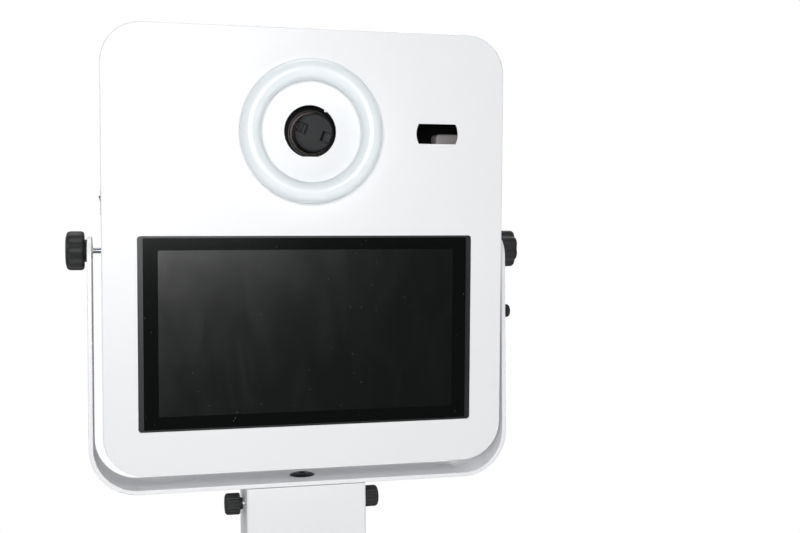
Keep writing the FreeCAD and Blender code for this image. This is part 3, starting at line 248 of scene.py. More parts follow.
def turned_aluminium(name, code):
    """Anodised aluminium turned on a lathe: satin, with fine tool rings a third of a
    millimetre apart, drawn as shallow noise squeezed across the turning axis."""
    skin = Surface(name, linear(code), {"Metallic": 1.0, "Roughness": 0.28})
    rings = skin.pattern("Noise", 0.35, skin.squeezed(Scale=(0.05, 1.0, 0.05)), Detail=2.0)
    skin.gloss(rings, 0.2, 0.38)
    return skin.material


def moulded_plastic(name, hue, roughness, grain_mm, grain_depth_mm):
    """Injection-moulded plastic from a spark-eroded tool: an even fine grain that breaks up the
    gloss, and a slow drift in tone from the flow of the melt."""
    skin = Surface(name, hue, {"Roughness": roughness, "IOR": 1.5})
    skin.tint(skin.pattern("Noise", 25, Detail=1.0), shade(hue, 0.88), shade(hue, 1.14))
    grain = skin.pattern("Noise", grain_mm, Detail=4.0)
    skin.emboss(grain, 0.6, grain_depth_mm)
    skin.gloss(grain, roughness - 0.08, roughness + 0.08)
    return skin.material


def pebbled_rubber(name, pebble_mm):
    """Moulded rubber with a pebbled face: dull, dusty grey-black, its pebbles rounded, with painted shade:
    the pebble tops lighter and the hollows between them darker.
    """
    hue = linear("232425")
    skin = Surface(name, hue, {"Roughness": 0.75, "IOR": 1.52})
    pebbles_and_painted_shade = skin.pattern("Voronoi", pebble_mm, feature="SMOOTH_F1")
    # Painted shade: lighter on the pebble tops, darker in the hollows between them.
    skin.tint(pebbles_and_painted_shade, shade(hue, 1.25), shade(hue, 0.7))
    skin.emboss(pebbles_and_painted_shade, 0.7, 0.2, invert=True)
    return skin.material


def opal_acrylic(hue):
    """Extruded opal acrylic tube bent to a ring: milky and cool, light soaking into its wall,
    under a clear polished skin that gives soft highlights."""
    skin = Surface("opal_acrylic", hue, {
        "Roughness": 0.32, "IOR": 1.49, "Subsurface Weight": 0.15, "Subsurface Scale": 2 * MM,
        "Subsurface Radius": (1.0, 1.0, 1.0), "Coat Weight": 0.4, "Coat Roughness": 0.18})
    skin.tint(skin.pattern("Noise", 40, Detail=2.0), shade(hue, 0.97), shade(hue, 1.03))
    return skin.material


def printed_border(tree, place):
    """One where the glass is printed black behind, outside the panel's lit area; zero inside."""
    low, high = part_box("lcd_panel")
    unlit = 8 * MM
    middle, half = (low + high) / 2, (high - low) / 2
    offset = add(tree, "VectorMath", {1: middle}, {0: place}, operation="SUBTRACT")
    apart = add(tree, "VectorMath", links={0: offset.outputs["Vector"]}, operation="ABSOLUTE")
    parts = add(tree, "SeparateXYZ", links={"Vector": apart.outputs["Vector"]})
    beyond = [add(tree, "Math", {1: reach - unlit}, {0: parts.outputs[axis]}, operation="GREATER_THAN")
              for axis, reach in (("X", half.x), ("Z", half.z))]
    return add(tree, "Math", links={0: beyond[0].outputs[0], 1: beyond[1].outputs[0]},
               operation="MAXIMUM").outputs[0]


def touch_glass_over_dark_panel(hue):
    """Toughened touch glass bonded to a switched-off panel: a polished face over a faintly hazy
    dark layer, with the greasy smears of fingertips and specks of dust."""
    skin = Surface("touch_glass_over_dark_panel", hue, {
        "Roughness": 0.24, "IOR": 1.5, "Coat Weight": 0.3, "Coat Roughness": 0.04})
    tree = skin.tree
    wiped = skin.squeezed(Scale=(1.0, 1.0, 0.4), Rotation=(0, 0.5, 0))
    smears = skin.pattern("Noise", 45, wiped, Detail=6.0, Distortion=1.2)
    haze = between(tree, smears, 0.23, 0.27, 0.4, 0.75)
    dust = between(tree, skin.pattern("Voronoi", 13), 0.55, 0.0, 0.03, 0.075)
    where = between(tree, skin.pattern("Noise", 90, Detail=1.0), 0.0, 1.0, 0.42, 0.6)
    amount = add(tree, "Math", links={0: dust, 1: where}, operation="MULTIPLY")
    mixed = add(tree, "Mix", {6: hue, 7: linear("6E7573")}, {"Factor": amount.outputs["Value"]},
                data_type="RGBA")
    calm = add(tree, "MapRange", {"To Max": 0.12},
               {"Value": printed_border(tree, skin.place), "To Min": haze})
    skin.feed("Roughness", calm.outputs["Result"])
    skin.feed("Base Color", mixed.outputs[2])
    return skin.material


def switched_off_display():
    """Switched-off LCD under a hard clear coat: blue-black, glossy, faintly greasy."""
    skin = Surface("switched_off_lcd", linear("07090D"), {
        "Roughness": 0.2, "IOR": 1.5, "Coat Weight": 0.8, "Coat Roughness": 0.05})
    skin.gloss(skin.pattern("Noise", 14, Detail=4.0), 0.1, 0.32)
    return skin.material


def painted_shade_sheet():
    """Painted shade: a black sheet drawn as closed-cell foam, its cut cells a millimetre wide, that stands
    for the dark inside of the case.
    """
    skin = Surface("painted_shade_black_sheet", linear("0C0C0D"), {"Roughness": 0.95, "IOR": 1.4})
    skin.emboss(skin.pattern("Voronoi", 1.2), 0.8, 0.3)
    return skin.material


def coated_lens_glass():
    """Ground and polished optical glass with an antireflex coating: near black, with the coating's reflection
    painted into its colour, a violet cast that turns green towards its rim."""
    skin = Surface("coated_lens_glass", linear("0B0A12"), {
        "Roughness": 0.04, "IOR": 1.6, "Coat Weight": 0.6, "Coat Roughness": 0.02})
    # Painted reflection: the base colour turns from violet to green as the face turns away from the view.
    facing = add(skin.tree, "LayerWeight", {"Blend": 0.35}).outputs["Facing"]
    skin.tint(facing, linear("120C22"), linear("0A2A22"))
    return skin.material


def printed_board_white():
    """Glass-epoxy board under white solder mask: smooth, slightly yellow, faintly woven."""
    skin = Surface("printed_board_white", linear("E6E3D8"), {"Roughness": 0.45})
    skin.emboss(skin.pattern("Wave", 2.5, Distortion=0.4), 0.2, 0.05)
    return skin.material


def studio_paper(hue):
    """Matt background paper, faintly clouded."""
    skin = Surface("studio_paper", hue, {"Roughness": 0.9})
    skin.tint(skin.pattern("Noise", 700), shade(hue, 0.97), hue)
    return skin.material


MADE = {}


def finish_of(name):
    """The booth's materials by the names of its finishes, each made once.

    The numbers of a powder coat are its peel's width and depth in mm and its roughness; those of
    a moulding are its roughness and its grain's width and depth in mm.
    """
    if name not in MADE:
        hues = bpy.context.scene.booth_colours
        powder, moulded = powder_coated_steel, moulded_plastic
        makers = {
            "white coat": lambda: powder("powder_coated_steel_white", hues.white_coat, 2.5, 0.04, 0.36),
            "black coat": lambda: powder("powder_coated_steel_black", hues.black_coat, 1.4, 0.12, 0.55),
            "zinc": lambda: zinc_plated_steel(hues.zinc),
            "black steel": black_oxide_steel,
            "aluminium": lambda: turned_aluminium("turned_aluminium", "C9CBCE"),
            "dark anodised": lambda: turned_aluminium("dark_anodised_aluminium", "3D3735"),
            "knob": lambda: moulded("glass_filled_nylon_black", hues.knob, 0.6, 0.9, 0.05),
            "monitor": lambda: moulded("moulded_abs_satin_black", hues.monitor, 0.42, 1.2, 0.03),
            "cap": lambda: moulded("moulded_abs_lens_cap", hues.cap, 0.62, 0.8, 0.03),
            "camera": lambda: moulded("moulded_polycarbonate_black", hues.lens, 0.48, 0.8, 0.05),
            "pale plastic": lambda: moulded("moulded_abs_pale_grey", linear("DDD6D7"), 0.5, 1.2, 0.03),
            "white plastic": lambda: moulded("moulded_abs_white", hues.white_coat, 0.4, 1.5, 0.02),
            "dark plastic": lambda: moulded("moulded_abs_black", linear("1E1F21"), 0.5, 1.0, 0.05),
            "nylon": lambda: moulded("cast_nylon_natural", linear("D9D5C8"), 0.4, 2.0, 0.02),
            "rubber": lambda: pebbled_rubber("moulded_rubber_black", 1.6),
            "grip": lambda: pebbled_rubber("pebbled_grip_rubber", 1.1),
            "opal": lambda: opal_acrylic(hues.opal),
            "touch glass": lambda: touch_glass_over_dark_panel(hues.screen),
            "lens glass": coated_lens_glass,
            "screen glass": switched_off_display,
            "board": printed_board_white,
            "shade sheet": painted_shade_sheet,
        }
        MADE[name] = makers[name]()
    return MADE[name]


def coat(finish, *nodes):
    """Give CAD nodes that finish."""
    for node in nodes:
        slots = frame["nodes"][node].data.materials
        slots.clear()
        slots.append(finish_of(finish))


# ---------------------------------------------------------------- shaping


def lathe(bm, outline, steps=96):
    """Turn an outline of (radius, height) points a full turn about Z."""
    spots = [bm.verts.new((radius, 0, height)) for radius, height in outline]
    runs = [bm.edges.new(pair) for pair in zip(spots, spots[1:])]
    bmesh.ops.spin(bm, geom=spots + runs, cent=(0, 0, 0), axis=(0, 0, 1),
                   angle=math.tau, steps=steps, use_merge=True)


def near(radius, height, *offsets):
    """Points of an outline, each so many millimetres inward from a radius and above a height."""
    return [(radius - inward * MM, height + upward * MM) for inward, upward in offsets]


def arc(centre, radius, start, end, steps):
    """Points of an arc in an outline, its angles in degrees from the outward direction."""
    angles = [math.radians(start + (end - start) * i / steps) for i in range(steps + 1)]
    return [(centre[0] + radius * math.cos(a), centre[1] + radius * math.sin(a)) for a in angles]


def slab(bm, low, high, corner=0, upright=2, steps=8):
    """Add a block between two corners, its edges along one axis rounded."""
    low, high = Vector(low), Vector(high)
    corners = bmesh.ops.create_cube(bm, size=1)["verts"]
    bmesh.ops.scale(bm, vec=high - low, verts=corners)
    bmesh.ops.translate(bm, vec=(low + high) / 2, verts=corners)
    if not corner:
        return
    edges = dict.fromkeys(edge for vertex in corners for edge in vertex.link_edges)
    chosen = [e for e in edges if abs((e.verts[0].co - e.verts[1].co).normalized()[upright]) > 0.9]
    bmesh.ops.bevel(bm, geom=chosen, offset=corner, offset_type="OFFSET", affect="EDGES",
                    segments=steps, profile=0.5, material=-1)


def soften(bm, width, steps=2, sharper_than=30):
    """Round every edge that is sharper than that many degrees."""
    limit = math.radians(sharper_than)
    sharp = [edge for edge in bm.edges if edge.is_manifold and edge.calc_face_angle() > limit]
    bmesh.ops.bevel(bm, geom=sharp, offset=width, offset_type="OFFSET", affect="EDGES",
                    segments=steps, profile=0.5, material=-1, clamp_overlap=True)


def flute(bm, count, depth, beyond, softness=1.0):
    """Press evenly spaced hollows into whatever lies further than beyond from the Z axis."""
    for vertex in bm.verts:
        reach = math.hypot(vertex.co.x, vertex.co.y)
        if reach > beyond:
            wave = (1 - math.cos(count * math.atan2(vertex.co.y, vertex.co.x))) / 2
            factor = 1 - depth / reach * wave ** softness
            vertex.co.x *= factor
            vertex.co.y *= factor


def merge(bm):
    """Close seams and poles, and turn every face outward."""
    bmesh.ops.remove_doubles(bm, verts=bm.verts, dist=1e-6)
    bmesh.ops.recalc_face_normals(bm, faces=bm.faces)


def hang(name, bm, space, body, finish, stands_for=(), crease=40):
    """Make the bmesh an object in its place, smooth it, finish it and hang it on a body."""
    merge(bm)
    bm.transform(space)
    for face in bm.faces:
        face.smooth = True
    for edge in bm.edges:
        edge.smooth = edge.is_manifold and edge.calc_face_angle() < math.radians(crease)
    mesh = bpy.data.meshes.new(name)
    bm.to_mesh(mesh)
    bm.free()
    mesh.materials.append(finish_of(finish))
    piece = bpy.data.objects.new(name, mesh)
    bpy.context.scene.collection.objects.link(piece)
    piece.modifiers.new("Face-weighted shading", "WEIGHTED_NORMAL").keep_sharp = True
    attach(piece, body)
    if stands_for:
        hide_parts(*stands_for)
    return piece


def thread(outer, pitch, depth, start, end):
    """Outline of a threaded rod between two heights, chamfered at its ends."""
    outline = [(0, start), (outer - depth, start)]
    turns = int((end - start) / pitch) - 1
    for i in range(turns):
        low = start + pitch * (i + 0.5)
        outline += [(outer - depth, low), (outer, low + pitch * 0.45), (outer, low + pitch * 0.55)]
    return outline + [(outer - depth, end), (0, end)]


# ---------------------------------------------------------------- stand and mast


class BOOTH_OT_stand(bpy.types.Operator):
    """Finish the base plate, its feet, the column and its bolts"""

    bl_idname = "booth.stand"
    bl_label = "Stand"

    def execute(self, context):
        sizes = context.scene.booth_sizes
        for node, corner, finish, slot in (("base_plate", 40 * MM, "black coat", "black_coat"),
                                           ("column_foot_plate", 8 * MM, "white coat", "white_coat")):
            bm = bmesh.new()
            slab(bm, *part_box(node), corner, steps=12)
            soften(bm, sizes.plate_edge, 3)
            hang(f"{node}_rounded", bm, HERE, "stand", finish, [node])

        low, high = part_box("base_feet")
        radius, tall = 18 * MM, high.z - low.z
        bm = bmesh.new()
        lathe(bm, [(0, 0), *near(radius, 0, (5, 0), (4, 0.6), (3, 0), (1.5, 0), (0, 1.5)),
                   *near(radius, tall, (1, -0.6), (1.6, 0)), (0, tall)], 64)
        feet = [(x, y) for x in (low.x + radius, high.x - radius) for y in (low.y + radius, high.y - radius)]
        self.repeat(bm, feet, 0)
        hang("rubber_feet", bm, HERE, "stand", "rubber", ["base_feet"])

        low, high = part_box("column_bolts")
        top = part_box("column_foot_plate")[1].z
        across, flange_tall = 16 * MM, 1.2 * MM
        corner, flange, tall = across / math.cos(math.radians(30)) / 2, across * 0.62, high.z - top
        as_tightened = Matrix.Rotation(math.radians(12), 3, "Z")
        bm = bmesh.new()
        bmesh.ops.create_cone(bm, segments=6, radius1=corner, radius2=corner, depth=tall, cap_ends=True)
        bmesh.ops.translate(bm, vec=(0, 0, tall / 2), verts=bm.verts)
        soften(bm, 0.7 * MM, 2)
        lathe(bm, [(0, 0), (flange, 0), (flange, flange_tall), (0, flange_tall)], 48)
        bmesh.ops.rotate(bm, cent=(0, 0, 0), matrix=as_tightened, verts=bm.verts)
        spots = [(x, y) for x in (low.x + corner, high.x - corner)
                 for y in (low.y + across / 2, high.y - across / 2)]
        self.repeat(bm, spots, top)
        hang("column_bolt_heads", bm, HERE, "stand", "zinc", ["column_bolts"])
        coat("white coat", "column")
        coat("zinc", "clamp_rivet_nuts")
        return {"FINISHED"}

    def repeat(self, bm, spots, height):
        """Copy what is drawn about the origin to each spot, at that height."""
        drawn = bm.verts[:] + bm.edges[:] + bm.faces[:]
        for x, y in spots[1:]:
            copied = bmesh.ops.duplicate(bm, geom=drawn)["geom"]
            verts = [part for part in copied if isinstance(part, bmesh.types.BMVert)]
            bmesh.ops.translate(bm, vec=(x, y, height), verts=verts)
        first = [part for part in drawn if isinstance(part, bmesh.types.BMVert)]
        bmesh.ops.translate(bm, vec=(*spots[0], height), verts=first)


class BOOTH_OT_mast(bpy.types.Operator):
    """Finish the mast, its cap and the pan bolt"""

    bl_idname = "booth.mast"
    bl_label = "Mast"

    def execute(self, context):
        low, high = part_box("pan_bolt")
        radius, shank, head_tall = (high.x - low.x) / 2, 6 * MM, 4 * MM
        under = high.z - head_tall
        socket, socket_deep = 5.4 * MM, 2.6 * MM
        bm = bmesh.new()
        lathe(bm, [(0, low.z), *near(shank, low.z, (0.8, 0), (0, 0.8)), (shank, under),
                   *near(radius, under, (0.8, 0), (0, 0.6), (0.9, 1.5)), (radius * 0.72, under + 3.1 * MM),
                   (radius * 0.45, high.z - 0.15 * MM), *near(socket, high.z, (-0.4, 0), (0, -0.4)),
                   (socket, high.z - socket_deep), (0, high.z - socket_deep - 0.6 * MM)])
        half_flat = math.radians(30)
        for vertex in bm.verts:
            reach = math.hypot(vertex.co.x, vertex.co.y)
            if vertex.co.z > under and 1e-6 < reach < socket + 0.1 * MM:
                turn = math.atan2(vertex.co.y, vertex.co.x) % (2 * half_flat) - half_flat
                factor = math.cos(half_flat) / math.cos(turn)
                vertex.co.x *= factor
                vertex.co.y *= factor
        hang("pan_bolt_button_head", bm, HERE, "mast", "black steel", ["pan_bolt"])
        coat("zinc", "mast_tube", "pan_nut")
        coat("white coat", "mast_cap")
        coat("nylon", "mast_guides", "pan_washer")
        return {"FINISHED"}


class BOOTH_OT_yoke(bpy.types.Operator):
    """Finish the yoke and its bushes"""

    bl_idname = "booth.yoke"
    bl_label = "Yoke"

    def execute(self, context):
        coat("white coat", "yoke")
        coat("nylon", "pivot_bushes")
        return {"FINISHED"}


# ---------------------------------------------------------------- knobs


class BOOTH_OT_pivot_knobs(bpy.types.Operator):
    """Model the two lobed pivot knobs and their threaded studs"""

    bl_idname = "booth.pivot_knobs"
    bl_label = "Pivot Knobs"

    def execute(self, context):
        sizes = context.scene.booth_sizes
        for side in ("left", "right"):
            space = joint_space(f"pivot_knob_{side}_turn")
            low, high = box_in(space, f"pivot_knob_{side}")
            radius, top = high.x, high.z
            neck, under, dish, dish_deep = 15.5 * MM, 4 * MM, radius * 0.5, 1.2 * MM
            bm = bmesh.new()
            lathe(bm, [(0, 0), *near(neck, 0, (0.8, 0), (0, 0.8)), *near(neck, under, (0, -0.6), (-0.6, 0)),
                       *near(radius, under, (5, 0), (2, 0.8), (0.5, 2.6), (0, 5), (0, 10)),
                       *near(radius, top, (0, -7), (0.5, -4.2), (2, -2), (5, -0.6), (9, 0)),
                       *near(dish, top, (0, 0), (0.8, -0.7)), (radius * 0.42, top - dish_deep),
                       (0, top - dish_deep)], sizes.knob_lobes * 24)
            flute(bm, sizes.knob_lobes, sizes.knob_scallop, radius * 0.7, 1.4)
            hang(f"star_knob_{side}", bm, space, f"pivot_knob_{side}", "knob",
                 [f"pivot_knob_{side}"], 50)

            node = f"pivot_stud_{side}"
            low, high = box_in(space, node)
            bm = bmesh.new()
            lathe(bm, thread(high.x, sizes.thread_pitch, sizes.thread_depth, low.z, high.z), 40)
            hang(f"threaded_stud_{side}", bm, space, f"pivot_knob_{side}", "zinc", [node], 20)
        return {"FINISHED"}


class BOOTH_OT_small_knobs(bpy.types.Operator):
    """Model the fluted clamp knobs and the tilt lock knob"""

    bl_idname = "booth.small_knobs"
    bl_label = "Small Knobs"

    def execute(self, context):
        sizes = context.scene.booth_sizes
        for node, flutes, neck, stud in (
            ("clamp_knob_left", sizes.clamp_flutes, 8.5, 4),
            ("clamp_knob_right", sizes.clamp_flutes, 8.5, 4),
            ("tilt_lock_knob", sizes.lock_flutes, 6, 3),
        ):
            space = joint_space("tilt_lock_turn" if node == "tilt_lock_knob" else f"{node}_turn")
            low, high = box_in(space, node)
            radius, top, neck, stud, under, dish_deep = high.x, high.z, neck * MM, stud * MM, 4 * MM, 0.8 * MM
            bm = bmesh.new()
            lathe(bm, [(0, 0), (neck, 0), (neck, under), *near(radius, under, (1, 0), (0, 1)),
                       *near(radius, top, (0, -4), (0.7, -2), (2.2, -0.6), (4, 0)), (radius * 0.4, top),
                       (radius * 0.35, top - dish_deep), (0, top - dish_deep)], flutes * 8)
            flute(bm, flutes, sizes.flute_depth, radius * 0.8, 0.8)
            hang(f"{node}_fluted", bm, space, node, "knob", [node], 50)
            pitch = sizes.thread_pitch * stud / (4 * MM)
            bm = bmesh.new()
            lathe(bm, thread(stud, pitch, sizes.thread_depth, low.z, 1 * MM), 40)
            hang(f"{node}_stud", bm, space, node, "zinc", crease=20)
        return {"FINISHED"}


# ---------------------------------------------------------------- head case and rear door


class BOOTH_OT_case(bpy.types.Operator):
    """Finish the case, the plates inside its walls and the blanking plug"""

    bl_idname = "booth.case"
    bl_label = "Case"

    def execute(self, context):
        coat("white coat", "head_shell")
        coat("zinc", "pivot_plates", "weld_nuts")
        coat("white plastic", "blanking_plug")
        return {"FINISHED"}


class BOOTH_OT_rear_door(bpy.types.Operator):
    """Finish the rear door, its hinges and its lock"""

    bl_idname = "booth.rear_door"
    bl_label = "Rear Door"

    def execute(self, context):
        coat("white coat", "rear_door")
        coat("zinc", "hinge_fixed_leaves", "hinge_door_leaves", "hinge_pins", "lock_barrel", "lock_cam")
        return {"FINISHED"}


# ---------------------------------------------------------------- ring light and monitor


class BOOTH_OT_ring_light(bpy.types.Operator):
    """Model the ring light's opal diffuser and finish the board behind it"""

    bl_idname = "booth.ring_light"
    bl_label = "Ring Light"

    def execute(self, context):
        low, high = box_in(HEAD, "ring_diffuser")
        outward = HEAD.to_3x3() @ Vector((0, -1, 0))
        middle = (low + high) / 2
        space = along(HEAD @ Vector((middle.x, high.y, middle.z)), outward)
        section, wall, rise = 14.5 * MM, 2 * MM, 3.6 * MM
        ring = (high.x - low.x) / 2 - section
        centre = (ring, (high.y - low.y) - section)
        foot = math.degrees(math.asin(centre[1] / section))
        inner_foot = math.degrees(math.asin((centre[1] - rise) / (section - wall)))
        channel = (section - wall) * math.cos(math.radians(inner_foot))
        bm = bmesh.new()
        outline = arc(centre, section, -foot, 180 + foot, 40)
        outline += [(ring - channel, 0), (ring - channel, rise)]
        outline += arc(centre, section - wall, 180 + inner_foot, -inner_foot, 28)[1:-1]
        outline += [(ring + channel, rise), (ring + channel, 0), outline[0]]
        lathe(bm, outline, 192)
        hang("opal_ring", bm, space, "head", "opal", ["ring_diffuser"])
        coat("aluminium", "ring_base")
        coat("board", "led_ring")
        return {"FINISHED"}


class BOOTH_OT_monitor(bpy.types.Operator):
    """Finish the touch monitor"""

    bl_idname = "booth.monitor"
    bl_label = "Monitor"

    def execute(self, context):
        coat("monitor", "monitor_frame", "monitor_back_cover", "speaker_grilles")
        coat("touch glass", "touch_glass")
        coat("screen glass", "lcd_panel")
        return {"FINISHED"}


# ---------------------------------------------------------------- equipment in the case


class BOOTH_OT_equipment(bpy.types.Operator):
    """Model the computer, its power supply and the ring light's driver, and a black pad of painted shade
    behind the driver
    """

    bl_idname = "booth.equipment"
    bl_label = "Equipment"

    def execute(self, context):
        coat("zinc", "equipment_plate", "monitor_spacers", "equipment_nuts")
        for node, finish, slot, corner, edge in (
            ("mini_pc", "dark plastic", "black_plastic", 10, 2.5),
            ("power_supply", "aluminium", "aluminium", 2, 0.8),
            ("led_driver", "pale plastic", "pale_plastic", 5, 2),
        ):
            low, high = box_in(HEAD, node)
            bm = bmesh.new()
            slab(bm, low, high, corner * MM, upright=1)
            soften(bm, edge * MM, 3)
            if node != "led_driver":
                self.vents(bm, row=2 if node == "mini_pc" else 0)
            hang(f"{node}_housing", bm, HEAD, "head", finish, [node])
        # Painted shade: a black pad against the case's rear inside, behind the driver, stands for the dark
        # inside of the case.
        driver, wall = box_in(HEAD, "led_driver")
        rear = box_in(HEAD, "head_shell")[1].y - 2 * MM
        bm = bmesh.new()
        thick, glue = 2.3 * MM, 0.1 * MM
        slab(bm, (driver.x - 70 * MM, rear - glue - thick, driver.z + 50 * MM),
             (wall.x - 1 * MM, rear - glue, wall.z + 55 * MM), 6 * MM, 1)
        soften(bm, 0.5 * MM, 2)
        hang("painted_shade_pad_behind_driver", bm, HEAD, "head", "shade sheet")
        return {"FINISHED"}

    def vents(self, bm, row):
        """Mark out the rear face for cooling slots, one after another along an axis."""
        merge(bm)
        pitch, border, deep = 7 * MM, 12 * MM, 1.2 * MM
        rear = max((face for face in bm.faces if face.normal.y > 0.9), key=lambda face: face.calc_area())
        rim = bmesh.ops.inset_individual(bm, faces=[rear], thickness=border, use_even_offset=True)["faces"]
        edges = [edge for edge in rear.edges if edge.calc_length() > pitch * 3
                 and abs((edge.verts[0].co - edge.verts[1].co).normalized()[row]) > 0.9]
        cuts = int(min(edge.calc_length() for edge in edges) / pitch) * 2
        split = bmesh.ops.subdivide_edges(bm, edges=edges, cuts=cuts, use_grid_fill=True)["geom"]
        faces = [part for part in split if isinstance(part, bmesh.types.BMFace)
                 and part.normal.y > 0.9 and part.calc_area() < rim[0].calc_area() * 20]
        faces.sort(key=lambda face: face.calc_center_median()[row])
        bmesh.ops.inset_individual(bm, faces=faces[1::2], thickness=0.4 * MM, depth=-deep)


# ---------------------------------------------------------------- camera and lens

LENS = joint_space("focus_ring_turn", -1)


class BOOTH_OT_camera(bpy.types.Operator):
    """Model the camera body, its button, dial and screw"""

    bl_idname = "booth.camera"
    bl_label = "Camera"

    def execute(self, context):
        coat("zinc", "camera_tray")
        coat("black steel", "camera_screw")
        self.dial()
        self.button()
        self.body()
        return {"FINISHED"}

    def body(self):
        """Rounded body with a grip and its rubber, a viewfinder hump and a rear screen."""
        low, high = box_in(HEAD, "camera_body")
        shoulder = high.z - 16 * MM
        front, back = low.y + 14 * MM, high.y - 3 * MM
        parts = (
            ((low.x, front, low.z), (high.x, back, shoulder), 9, 1),
            ((low.x, low.y, low.z), (low.x + 30 * MM, front + 10 * MM, shoulder - 4 * MM), 9, 2),
        )
        bm = bmesh.new()
        for start, end, corner, upright in parts:
            slab(bm, start, end, corner * MM, upright)
        left, right = (corner.x for corner in box_in(HEAD, "lens_barrel"))
        centre, foot = (left + right) / 2, front + 2 * MM
        half_wide, half_deep = 28 * MM, 21 * MM
        slab(bm, (centre - half_wide, foot, shoulder - 8 * MM),
             (centre + half_wide, foot + 2 * half_deep, high.z))
        crown = [vertex for vertex in bm.verts if vertex.co.z > high.z - 1e-6]
        bmesh.ops.scale(bm, vec=(0.9, 0.72, 1), verts=crown,
                        space=Matrix.Translation((-centre, -foot - half_deep, 0)))
        soften(bm, 1.5 * MM, 3)
        hang("camera_body_rounded", bm, HEAD, "head", "camera", ["camera_body"])

        bm = bmesh.new()
        slab(bm, (centre - 45 * MM, back - 1 * MM, low.z + 8 * MM),
             (centre + 33 * MM, high.y, low.z + 64 * MM), 3 * MM, 1)
        soften(bm, 0.6 * MM, 2)
        hang("camera_rear_screen", bm, HEAD, "head", "screen glass")
        bm = bmesh.new()
        slab(bm, (low.x - 0.2 * MM, front - 9 * MM, low.z + 10 * MM),
             (low.x + 1 * MM, front + 18 * MM, shoulder - 12 * MM), 3 * MM, 0)
        soften(bm, 0.3 * MM, 2)
        hang("camera_grip_rubber", bm, HEAD, "head", "grip")

    def dial(self):
        """Knurled dial on its spindle."""
        space = joint_space("mode_dial_turn")
        low, high = box_in(space, "mode_dial")
        radius, top, spindle, dish_deep, knurls = high.x, high.z, 3 * MM, 0.3 * MM, 48
        under = top - 7 * MM
        bm = bmesh.new()
        lathe(bm, [(0, low.z), (spindle, low.z), (spindle, under), *near(radius, under, (0.4, 0), (0, 0.5)),
                   *near(radius, top, (0, -0.8), (0.8, 0), (1.6, 0), (2, -0.3)), (0, top - dish_deep)],
              knurls * 6)
        flute(bm, knurls, 0.4 * MM, radius * 0.94)
        hang("mode_dial_knurled", bm, space, "mode_dial", "camera", ["mode_dial"], 50)

    def button(self):
        """Shutter button with a dished top."""
        direction = Vector(JOINTS["shutter_press"]["axis"])
        upward = direction if direction.z > 0 else -direction
        low, high = box_in(HEAD, "shutter_button")
        space = along(HEAD @ Vector(((low.x + high.x) / 2, (low.y + high.y) / 2, low.z)), upward)
        radius, tall = (high.x - low.x) / 2, high.z - low.z
        bm = bmesh.new()
        lathe(bm, [(0, 0), *near(radius, 0, (0.3, 0), (0, 0.3)),
                   *near(radius, tall, (0, -0.9), (0.4, -0.3), (0.9, 0)), (radius * 0.6, tall - 0.25 * MM),
                   (radius * 0.3, tall - 0.5 * MM), (0, tall - 0.6 * MM)], 64)
        hang("shutter_button_dished", bm, space, "shutter_button", "aluminium",
             ["shutter_button"], 60)


class BOOTH_OT_lens(bpy.types.Operator):
    """Model the lens: barrel, trim ring, focus ring and front glass"""

    bl_idname = "booth.lens"
    bl_label = "Lens"

    def execute(self, context):
        sizes = context.scene.booth_sizes
        low, high = box_in(LENS, "lens_barrel")
        wide, front, back = high.x, high.z, low.z
        step = box_in(LENS, "lens_trim_ring")[0].z
        nose, seat, seat_deep = 27 * MM, 23 * MM, 12 * MM
        mount, mount_deep, baffles = wide - 3 * MM, 6 * MM, 6
        bm = bmesh.new()
        outline = [(0, front - seat_deep), (seat - baffles * MM, front - seat_deep)]
        for i in range(baffles):
            inset, level = baffles - 1 - i, front - seat_deep + (1 + i * 1.6) * MM
            outline += near(seat, level, (inset, 0), (inset, 0.8))
        outline += near(seat, front, (0, -1), (-0.6, -0.3))
        outline += near(nose, front, (1.2, 0), (0, -0.8), (0, -6), (0.7, -6.5), (0.7, -7.5), (0, -8))
        outline += [(nose, step), *near(wide, step, (1.2, 0), (0, -1.2))]
        for level in (step - 5 * MM, back + 12 * MM):
            outline += near(wide, level, (0, 0.6), (0.6, 0.3), (0.6, -0.3), (0, -0.6))
        outline += [(wide, back + mount_deep), (mount, back + mount_deep), (mount, back), (0, back)]
        lathe(bm, outline, 128)
        hang("lens_barrel_turned", bm, LENS, "head", "camera", ["lens_barrel"], 25)

        low, high = box_in(LENS, "lens_trim_ring")
        bm = bmesh.new()
        outer, inner = high.x, nose + 0.05 * MM
        lathe(bm, [(inner, low.z), (outer, low.z), *near(outer, high.z, (0, -0.9), (0.9, 0)),
                   *near(inner, high.z, (-0.5, 0), (0, -0.5)), (inner, low.z)], 128)
        hang("lens_trim_ring_turned", bm, LENS, "head", "dark anodised", ["lens_trim_ring"], 25)

        low, high = box_in(LENS, "focus_ring")
        outer, inner = high.x, wide + 0.1 * MM
        bm = bmesh.new()
        lathe(bm, [(inner, low.z), *near(outer, low.z, (0.6, 0), (0, 0.6)),
                   *near(outer, high.z, (0, -0.6), (0.6, 0)), (inner, high.z), (inner, low.z)],
              sizes.focus_ribs * 6)
        flute(bm, sizes.focus_ribs, 0.7 * MM, outer - 0.3 * MM, 0.6)
        hang("focus_ring_ribbed", bm, LENS, "focus_ring", "grip", ["focus_ring"], 60)

        low, high = box_in(LENS, "front_lens")
        radius, bulge = high.x, 4 * MM
        sphere = (radius ** 2 + bulge ** 2) / (2 * bulge)
        dome = math.degrees(math.asin(radius / sphere))
        bm = bmesh.new()
        lathe(bm, [(0, low.z), (radius, low.z)] + arc((0, high.z - sphere), sphere, 90 - dome, 90, 12))
        hang("front_lens_ground", bm, LENS, "head", "lens glass", ["front_lens"])
        return {"FINISHED"}


